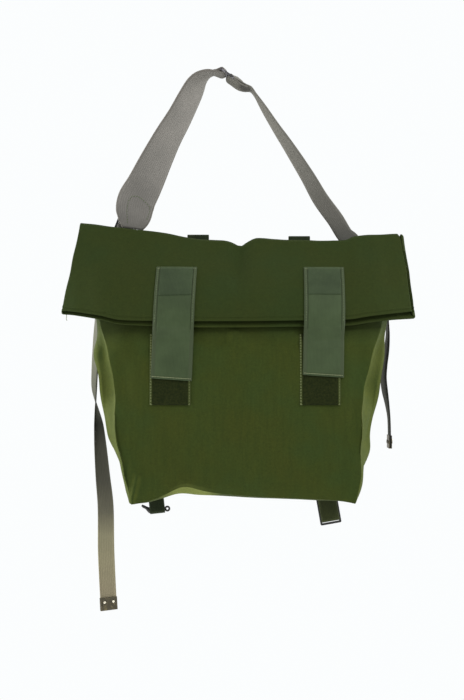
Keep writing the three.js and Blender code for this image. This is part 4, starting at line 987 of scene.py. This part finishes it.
def add_bottom(points, faces, uvs):
    """The bottom panel joins the lowest ring's front to its back."""
    half = RING // 2
    columns = [[0] * (BOTTOM_STEPS + 1)]
    for i in range(1, half):
        front, rear = np.array(points[i]), np.array(points[RING - i])
        column = [i]
        for d in range(1, BOTTOM_STEPS):
            t = (d / BOTTOM_STEPS) ** 1.6
            x, y, z = lerp(front, rear, t)
            sag = math.sin(math.pi * t) * (1.6 * soft_noise(x, y, 40, 40, 30.5) - 1.5)
            sag -= smooth(FRONT_LIFT, across_of(x)) * ease(t, 0, 0.16) * (1 - t)
            column.append(len(points))
            points.append((x, y, z + sag))
        columns.append(column + [RING - i])
    columns.append([half] * (BOTTOM_STEPS + 1))
    for near, far in zip(columns, columns[1:]):
        for d in range(BOTTOM_STEPS):
            corners = [near[d], near[d + 1], far[d + 1], far[d]]
            distinct = [c for n, c in enumerate(corners) if c != corners[n - 1]]
            faces.append(tuple(distinct))
            uvs += [points[c][:2] for c in distinct]


def bag_cloth(material):
    """Pouch and fold-over top in one skin, walled afterwards."""
    pouch_rows, pouch_out = pouch_part()
    fold_rows, fold_out = fold_part()
    grid = np.array(pouch_rows + fold_rows, float)
    ring_way = np.roll(grid, -1, axis=1) - np.roll(grid, 1, axis=1)
    normal = unit(np.cross(ring_way, np.gradient(grid, axis=0)))
    grid += normal * np.array(pouch_out + fold_out)[:, :, None]
    ring = grid[len(pouch_rows) // 2]
    u = distances(np.vstack([ring, ring[:1]]))
    v = distances(grid[:, GUSSET_STEPS + 8])
    points = [tuple(p) for p in grid.reshape(-1, 3)]
    faces = ring_faces(len(grid), RING)
    uvs = ring_uvs(u, v)
    add_bottom(points, faces, uvs)
    obj = mesh_piece("bag_cloth", points, faces, material, uvs)
    wall = obj.modifiers.new("wall", "SOLIDIFY")
    wall.thickness = 1.5 * MM
    wall.offset = -1
    put(obj, "canvas", "pouch", "fold_over_top")


# Closing tabs and patches
def mirrored(profile):
    """A profile from the middle outwards, made into one from the right edge to the left."""
    return [(across, up) for across, up in profile[::-1]] + [(-across, up) for across, up in profile[1:]]


def raised(rows, height):
    """Rows moved towards the front by height(row, column)."""
    return [[(x, y - height(j, i), z) for i, (x, y, z) in enumerate(row)] for j, row in enumerate(rows)]


def tab_rows(side):
    """The tab's middle surface: down the flap's front, over its hem and onto its patch."""
    centre = BAG_SHIFT + TAB_SHIFT + side * TAB_SPREAD
    end = -STRAP_DROP - TAB_TOP - TAB_LENGTH + (TAB_SHORTER if side > 0 else 0)
    stand_off = STACK / 2 + SEAT_GAP + TAB_THICKNESS / 2 + 0.5
    patch_off = PATCH_GAP + PATCH_THICKNESS + SEAT_GAP + TAB_THICKNESS / 2

    def on_flap(along, x):
        half, middle = fold_across(along)
        return fold_point((x - middle) / half, along, x, stand_off)

    half, middle = fold_across(0.7)
    xs = [centre + across for across, _ in mirrored(TAB_PROFILE)]
    tops = [flap_share_at((x - middle) / half, -STRAP_DROP - TAB_TOP, stand_off) for x in xs]
    rows = []
    for j in range(TAB_STEPS + 1):
        rows.append([on_flap(lerp(top, 1, j / TAB_STEPS), x) for x, top in zip(xs, tops)])
    for j in range(1, TAB_STEPS + 1):
        row = []
        for x, hem_y, hem_z in rows[TAB_STEPS]:
            z = lerp(hem_z, end - TAB_SLANT * (x - centre) / TAB_PROFILE[-1][0], j / TAB_STEPS)
            settle = ease(hem_z - z - 5, 0, 20)
            row.append((x, lerp(hem_y, pouch_front_at(x, z) - patch_off, settle), z))
        rows.append(row)
    lean = [lerp(*TAB_LEAN[side], j / (2 * TAB_STEPS)) for j in range(len(rows))]
    return [[(x + aside, y, z) for x, y, z in row] for aside, row in zip(lean, rows)]


def build_tab(name, side, cloth, panel_cloth, thread, bar_thread):
    profile = [up for _, up in mirrored(TAB_PROFILE)]
    last = 2 * TAB_STEPS

    def face(j, i):
        pressed = 0.3 + 0.3 * max(profile[i], 0)
        ends = ease(j, 0, 2) * (1 - ease(j, last - 2, last))
        return ends * lerp(profile[i], pressed, ease(j, TAB_STEPS + 2, TAB_STEPS + 10))

    def on_face(points, out=0.0, up=0.0):
        return [(x, y - TAB_THICKNESS / 2 - 0.12 - out, z + up) for x, y, z in points]

    rows = raised(tab_rows(side), face)
    tab = put(tape(name + "_cloth", rows, TAB_THICKNESS, cloth), "tab_webbing", name)
    under_panel = [row[5:-5] for row in rows[1:PANEL_ROWS + 1]]
    panel_rows = raised(under_panel, lambda j, i: 1.2 + 0.25 * math.sin(j * 0.7))
    panel = put(tape(name + "_panel", panel_rows, 0.8, panel_cloth), "tab_webbing")
    seams = [on_face([row[i] for row in rows[2:TAB_STEPS + 2]]) for i in (2, -3)]
    sewn = put(stitches(name + "_stitches", seams, thread), "tab_webbing")
    bars = [on_face(rows[j][1:-1], 0.2, up) for j, up in ((1, -0.2), (1, -1.4), (last - 1, 0.6))]
    bar = put(stitches(name + "_bar", bars, bar_thread, pitch=1.9, length=1.7, radius=0.45), "tab_webbing")
    declare_tape(rows)


def build_patch(name, side, material, thread):
    centre = BAG_SHIFT + TAB_SHIFT + side * TAB_SPREAD - PATCH_OUTSET
    out = PATCH_GAP + PATCH_THICKNESS / 2 + 0.4
    columns, steps = 14, 28
    rows = []
    for j in range(steps + 1):
        z = -STRAP_DROP - PATCH_END + PATCH_LENGTH * (1 - j / steps)
        xs = [centre + PATCH_WIDTH * (0.5 - i / columns) for i in range(columns + 1)]
        rows.append([(x, pouch_front_at(x, z) - out, z) for x in xs])
    patch = put(tape(name + "_cloth", rows, PATCH_THICKNESS, material), "loop_patch", name)
    face = PATCH_THICKNESS / 2 + 0.1
    runs = []
    for i, inset in ((0, -1.4), (columns, 1.5), (columns, 0.7)):
        runs.append([(row[i][0] + inset, row[i][1] - face, row[i][2]) for row in rows])
    tack = [(x, y - face, z + 0.6) for x, y, z in rows[-1]]
    runs += [tack[:2], tack[-2:]]
    sewn = put(stitches(name + "_stitches", runs, thread), "loop_patch")
    declare_tape(rows)


# Straps
def station(x, y, z, turn, width):
    return Vector((x, y, z)), turn, width


def curve_point(points, k, t):
    """Centripetal curve through the points, between the points k and k + 1."""
    b, c = points[k], points[k + 1]
    a = points[k - 1] if k > 0 else b * 2 - c
    d = points[k + 2] if k + 2 < len(points) else c * 2 - b
    gaps = [max((q - p).length, 1e-4) ** 0.5 for p, q in ((a, b), (b, c), (c, d))]
    slope_b = ((b - a) / gaps[0] - (c - a) / (gaps[0] + gaps[1]) + (c - b) / gaps[1]) * gaps[1]
    slope_c = ((c - b) / gaps[1] - (d - b) / (gaps[1] + gaps[2]) + (d - c) / gaps[2]) * gaps[1]
    return hermite(b, slope_b, c, slope_c, t)


def smooth_stations(stations, spacing):
    points = [s[0] for s in stations]
    result = []
    for k in range(len(stations) - 1):
        start, end = stations[k], stations[k + 1]
        steps = max(1, round((start[0] - end[0]).length / spacing))
        for i in range(steps):
            t = i / steps
            at = curve_point(points, k, t)
            result.append((at, lerp(start[1], end[1], t), lerp(start[2], end[2], t)))
    return result + [stations[-1]]


def softened(stations, rounds):
    """Turn and width evened out along the run, so that no twist starts with a kink."""
    values = np.array([(turn, width) for _, turn, width in stations], float)
    for _ in range(rounds):
        values[1:-1] = (values[:-2] + 2 * values[1:-1] + values[2:]) / 4
    return [(at, *pair.tolist()) for (at, _, _), pair in zip(stations, values)]


def ribbon_rows(stations, columns=6, fixed=None):
    """Rows of a ribbon, its width turned about its middle line or held to a fixed direction."""
    rows = []
    last = len(stations) - 1
    for j, (at, turn, width) in enumerate(stations):
        way = stations[min(j + 1, last)][0] - stations[max(j - 1, 0)][0]
        flat = Vector((-way.z, 0, way.x)).normalized()
        angle = math.radians(turn)
        across = fixed or flat * math.cos(angle) + Vector((0, -math.sin(angle), 0))
        rows.append([tuple(at + across * (width * (i / columns - 0.5))) for i in range(columns + 1)])
    return rows


def bar_wrap(centre, radius, start, end, place):
    """Places round a bar from one angle to another."""
    wrap = []
    for i in range(WRAP_STEPS + 1):
        angle = math.radians(lerp(start, end, i / WRAP_STEPS))
        wrap.append(place(centre[0] + radius * math.cos(angle), centre[1] + radius * math.sin(angle)))
    return wrap


def top_bar(side):
    lean = math.radians(TOP_SLIDE[2])
    pitch = side * TOP_BAR_PITCH
    return TOP_SLIDE[0] + pitch * math.cos(lean), -TOP_SLIDE[1] - pitch * math.sin(lean)


def build_pad(material, thread):
    route = [
        station(PAD_REACH * a, SLIDE_BACK * b, -PAD_DROP * d, turn, PAD_WIDTH * w)
        for a, d, b, turn, w in PAD_ROUTE
    ]
    bar = top_bar(-1)

    def end_place(x, z):
        return station(x, 0, z, SLANT, PAD_END_WIDTH)

    wrap = bar_wrap((bar[0] + 0.8, bar[1] - 0.6), PAD_WRAP + 0.6, -100, 110, end_place)
    back = [end_place(PAD_END_WIDTH * a, PAD_END_WIDTH * u) for a, u in PAD_RETURN]
    stations = softened(smooth_stations(route, 3), 6) + wrap + smooth_stations(back, 2)
    rows = ribbon_rows(stations, PAD_COLUMNS)
    pad = put(tape("shoulder_pad_cloth", rows, PAD_THICKNESS, material), "pad_webbing", "shoulder_pad")
    seam = []
    for j, share in PAD_SEAM:
        at = (share + 1) * PAD_COLUMNS / 2
        point = lerp(Vector(rows[j][int(at)]), Vector(rows[j][int(at) + 1]), at % 1)
        seam.append((point.x, point.y - PAD_THICKNESS / 2 - 0.1, point.z))
    sewn = put(stitches("shoulder_pad_stitches", [seam], thread, radius=0.4), "pad_webbing")
    declare_tape(rows)


def downwards(lean):
    return Vector((-math.sin(math.radians(lean)), 0, -math.cos(math.radians(lean))))


def below_slide(slide, route, tail_route, tail_length):
    """The webbing's run to a side slide, through it and down its free tail."""
    x, down, lean = slide
    way = downwards(lean)
    run = [station(x * a, SLIDE_BACK * b, -down * d, turn, WEB_WIDTH) for a, d, b, turn in route]
    for along, out in SLIDE_CROSSING:
        at = Vector((x, SLIDE_BACK + WEB_WRAP * out, -down)) + way * (BAR_PITCH * along)
        run.append((at, 0, WEB_WIDTH))
    for a, d, b, turn in tail_route:
        run.append(station(x + WEB_WIDTH * a, SLIDE_BACK * b, -down - tail_length * d, turn, WEB_WIDTH))
    return run


def webbing(name, rows, material, material_slot):
    """A plain webbing that stands for the solid of its name; its rows are given back."""
    piece = put(tape(name + "_cloth", rows, WEBBING, material), material_slot, name)
    declare_tape(rows)
    return rows


def build_left_web(material):
    run = below_slide(LEFT_SLIDE, LEFT_ROUTE, LEFT_TAIL_ROUTE, LEFT_TAIL)
    rows = ribbon_rows(softened(smooth_stations(run, 2.5), 6))
    return webbing("strap_web_left", rows, material, "strap_webbing")


def build_right_web(material):
    bar = top_bar(1)

    def edge_on(x, z, turn=SLANT):
        return station(x, 0, z, turn, WEB_WIDTH)

    def beside(rows):
        return [edge_on(bar[0] + LENS_LENGTH * a, bar[1] - LENS_LENGTH * d, turn) for a, d, turn in rows]

    upper = smooth_stations(beside(LENS_UPPER), 2)
    wrap = bar_wrap((bar[0] - 2.6, bar[1] + 1.8), WEB_WRAP + 1.0, 55, 235, edge_on)
    run = beside(LENS_LOWER) + below_slide(RIGHT_SLIDE, RIGHT_ROUTE, RIGHT_TAIL_ROUTE, RIGHT_TAIL)
    rows = ribbon_rows(upper + wrap + softened(smooth_stations(run, 2.5), 6))
    return webbing("strap_web_right", rows, material, "strap_webbing")


# Short webbings: anchors, lower webbings and top loops
def wrapped_strip(name, middle, down, radius, turn, inner, outer, material, width=WEB_WIDTH):
    """A strip from its inner end round a bar to its outer end, in steps along and back."""
    def place(along, back):
        at = middle + down * along
        return station(at.x, back, at.z, 0, width)

    stations = smooth_stations([place(*p) for p in inner], 2)
    stations += bar_wrap((0, middle.y), radius, *turn, place)
    stations += smooth_stations([place(*p) for p in outer], 2)
    rows = ribbon_rows(stations, fixed=Vector((-down.z, 0, down.x)))
    webbing(name, rows, material, "dark_webbing")


def build_anchor(name, slide, material):
    down = downwards(slide[2])
    middle = Vector((slide[0], SLIDE_BACK, -slide[1])) + down * BAR_PITCH
    rise = fold_rise(across_of(middle.x))

    def sewn(shares, out):
        places = []
        for share in shares:
            along = ANCHOR_LENGTH * share
            up = middle.z + down.z * along
            on_back = level_at(up - rise * rise_share(up), BACK) + SEAT_GAP + WEBBING / 2
            places.append((along, on_back + 0.4 + out))
        return places

    inner = sewn([1, 0.75, 0.5], 0.6) + [(ANCHOR_LENGTH * 0.22, SLIDE_BACK - 3.2 * LAYER_STEP)]
    outer = [(ANCHOR_LENGTH * 0.24, SLIDE_BACK - LAYER_STEP)] + sewn([0.5, 0.75, 0.96], LAYER_STEP + 0.6)
    wrapped_strip(name, middle, down, WEB_WRAP, (280, 80), inner, outer, material)


def build_lower_web(name, buckle, bar_drop, radius, width, material):
    down = downwards(buckle[2])
    middle = Vector((BAG_SHIFT + buckle[0], LOWER_BACK, BAG_BOTTOM - buckle[1])) + down * bar_drop
    edge = (BAG_BOTTOM - middle.z) / down.z
    on_back = BACK_REACH + SEAT_GAP + WEBBING / 2
    inner = [(edge - LOWER_SEAM, on_back), (edge - 6, on_back), (edge + 3, LOWER_BACK - radius)]
    outer = [
        (edge + 3, LOWER_BACK + radius),
        (edge - 10, on_back + LAYER_STEP),
        (edge - LOWER_SEAM + 2, on_back + LAYER_STEP),
    ]
    wrapped_strip(name, middle, down, radius, (260, 460), inner, outer, material, width)


def build_top_loop(name, centre, material):
    top = -STRAP_DROP + fold_rise(across_of(centre)) + TOP_LOOP_RISE
    low = top - TOP_LOOP_LENGTH
    room = SEAT_GAP + WEBBING / 2 + 0.4
    upper = NECK_MIDDLE + STACK / 2 + room
    lower = level_at(low, BACK) + room

    def place(back, up):
        return [(centre + TOP_LOOP_WIDTH / 2 * share, back, up) for share in (-1, -0.6, -0.2, 0.2, 0.6, 1)]

    bend = (upper + TOP_LOOP_BEND, top - TOP_LOOP_BEND - WEBBING / 2)
    rows = [place(lower, low), place(upper, -NECK_DROP)]
    rows += bar_wrap(bend, TOP_LOOP_BEND, 180, 0, place)
    rows += [place(upper + 2 * TOP_LOOP_BEND, -NECK_DROP), place(lower + LAYER_STEP, low)]
    webbing(name, rows, material, "dark_webbing")


# Wire, rivets and thread
def rod(name, points, radii, material, sides=10):
    """A round rod along smooth points, with a radius for each point."""
    line, sizes = [], []
    for k in range(len(points) - 1):
        for n in range(5):
            line.append(curve_point(points, k, n / 5))
            sizes.append(lerp(radii[k], radii[k + 1], n / 5))
    line.append(points[-1])
    sizes.append(radii[-1])
    rings = []
    for j, (at, radius) in enumerate(zip(line, sizes)):
        way = (line[min(j + 1, len(line) - 1)] - line[max(j - 1, 0)]).normalized()
        first = way.cross(Vector((0, 1, 0))).normalized()
        rings.append(circle(at, first, way.cross(first), radius, sides))
    return round_piece(name, [rings], material)


def build_left_buckle(material):
    middle = Vector((BAG_SHIFT + LEFT_BUCKLE[0], LOWER_BACK, BAG_BOTTOM - LEFT_BUCKLE[1]))
    points = [middle + Vector((across, 0, up)) for across, up, _ in BUCKLE_WIRE]
    radii = [radius for _, _, radius in BUCKLE_WIRE]
    eye_across, eye_up, eye_radius = BUCKLE_EYE
    for k in range(9):
        angle = math.radians(180 + 45 * k)
        turn = Vector((math.cos(angle) * eye_radius, -0.2 * k, math.sin(angle) * eye_radius))
        points.append(middle + Vector((eye_across, 0, eye_up)) + turn)
        radii.append(1.2)
    put(rod("lower_buckle_left_wire", points, radii, material), "dark_metal", "lower_buckle_left")


def build_rivets(tip, rows, material):
    """Two bright rivet heads on the front of a tail's tip; rows are the tail's webbing."""
    end, before = np.array(rows[-1]), np.array(rows[-4])
    way = unit(end[3] - before[3])
    across = unit(end[-1] - end[0])
    out = np.cross(across, way)
    if out[1] > 0:
        out = -out
    for word, side in (("inner", -1), ("outer", 1)):
        base = end[3] - way * RIVET_RISE + across * (RIVET_SPREAD * side) + out * 2.3
        rings = [circle(base + out * rise, across, way, radius, 16) for rise, radius in RIVET_HEAD]
        put(round_piece(f"{tip}_rivet_{word}", [rings], material), "tip_metal")


def build_loose_thread(material):
    """A short thread end under the left corner of the hem."""
    steps = ((0, 0, 0), (0.8, -0.5, -2.5), (0.3, -0.8, -5), (1.2, -0.6, -7.5))
    points = [Vector((-176, -24, -294)) + Vector(step) for step in steps]
    put(rod("loose_thread", points, [0.35] * 4, material, sides=6), "canvas")


# Metal that keeps its shape gets a finish and softened edges
def finish_metal(black, grey, tip_metal):
    finishes = {
        "strap_slide": grey, "side_slide_left": black, "side_slide_right": black,
        "lower_buckle_right": black, "tail_tip_left": tip_metal, "tail_tip_right": tip_metal,
    }
    for name, finish in finishes.items():
        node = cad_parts[name]
        node.data.materials.clear()
        node.data.materials.append(finish)
        edges = node.modifiers.new("soft_edges", "BEVEL")
        edges.width = 0.35 * MM
        edges.segments = 3
        edges.limit_method = "ANGLE"
        edges.angle_limit = math.radians(40)


def build_bag():
    canvas = canvas_material()
    tab_cloth = tape_material(
        "tab_tape", (0.0289, 0.0431, 0.0189), (0.0374, 0.0554, 0.0245), 1.6,
        edge=(0.0359, 0.0485, 0.0238), edge_from=20.3, roughness=0.6, sheen=0.03)
    panel_cloth = tape_material(
        "tab_panel_tape", (0.0235, 0.0355, 0.0165), (0.031, 0.0465, 0.0215), 1.6, roughness=0.6, sheen=0.03)
    pile = pile_material()
    pad_cloth = tape_material(
        "pad_webbing", (0.125, 0.119, 0.108), (0.146, 0.138, 0.125), 2.4,
        edge=(0.11, 0.102, 0.09), edge_from=19.5)
    strap_cloth = webbing_material()
    dark_cloth = tape_material("dark_webbing", (0.009, 0.014, 0.006), (0.017, 0.023, 0.009), 2, sheen=0.01)
    olive_cloth = tape_material("olive_webbing", (0.017, 0.022, 0.008), (0.03, 0.036, 0.012), 2, sheen=0.01)
    black = worn_metal("black_metal", (0.003, 0.003, 0.002), (0.03, 0.029, 0.024), 0.55, 0.28)
    grey_metal = worn_metal("grey_metal", (0.014, 0.013, 0.015), (0.1, 0.095, 0.105), 0.5, 0.42)
    tip_metal = worn_metal("tip_metal", (0.03, 0.024, 0.009), (0.075, 0.06, 0.022), 0.5, 0.4)
    # the rivet heads' flat light cream colour is partly their own and partly a painted highlight
    bright = thread_material("bright_rivet", (0.6, 0.56, 0.45))
    tab_thread = thread_material("tab_thread", (0.09, 0.115, 0.06))
    edge_thread = thread_material("edge_thread", (0.12, 0.14, 0.06))
    bar_thread = thread_material("bar_thread", (0.155, 0.172, 0.095))

    bag_cloth(canvas)
    for word, side in (("left", -1), ("right", 1)):
        build_patch(f"loop_patch_{word}", side, pile, edge_thread)
        build_tab(f"tab_{word}", side, tab_cloth, panel_cloth, tab_thread, bar_thread)
    build_pad(pad_cloth, tab_thread)
    left_rows = build_left_web(strap_cloth)
    right_rows = build_right_web(strap_cloth)
    build_anchor("anchor_tab_left", LEFT_SLIDE, dark_cloth)
    build_anchor("anchor_tab_right", RIGHT_SLIDE, dark_cloth)
    build_lower_web("lower_web_left", LEFT_BUCKLE, 2.9, ROD_RADIUS + SEAT_GAP + WEBBING / 2, 18, dark_cloth)
    build_lower_web("lower_web_right", RIGHT_BUCKLE, FRAME_INNER_BAR, WEB_WRAP, 22, olive_cloth)
    build_left_buckle(black)
    build_rivets("tail_tip_left", left_rows, bright)
    build_rivets("tail_tip_right", right_rows, bright)
    build_loose_thread(edge_thread)
    build_top_loop("top_loop_left", BAG_SHIFT + LEFT_LOOP, dark_cloth)
    build_top_loop("top_loop_right", BAG_SHIFT + RIGHT_LOOP, dark_cloth)
    finish_metal(black, grey_metal, tip_metal)


build_camera()
build_stage()
build_bag()

boxes = {"cad": cad_box, "visual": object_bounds()}
{name: [list(corner) for corner in box] for name, box in boxes.items()}
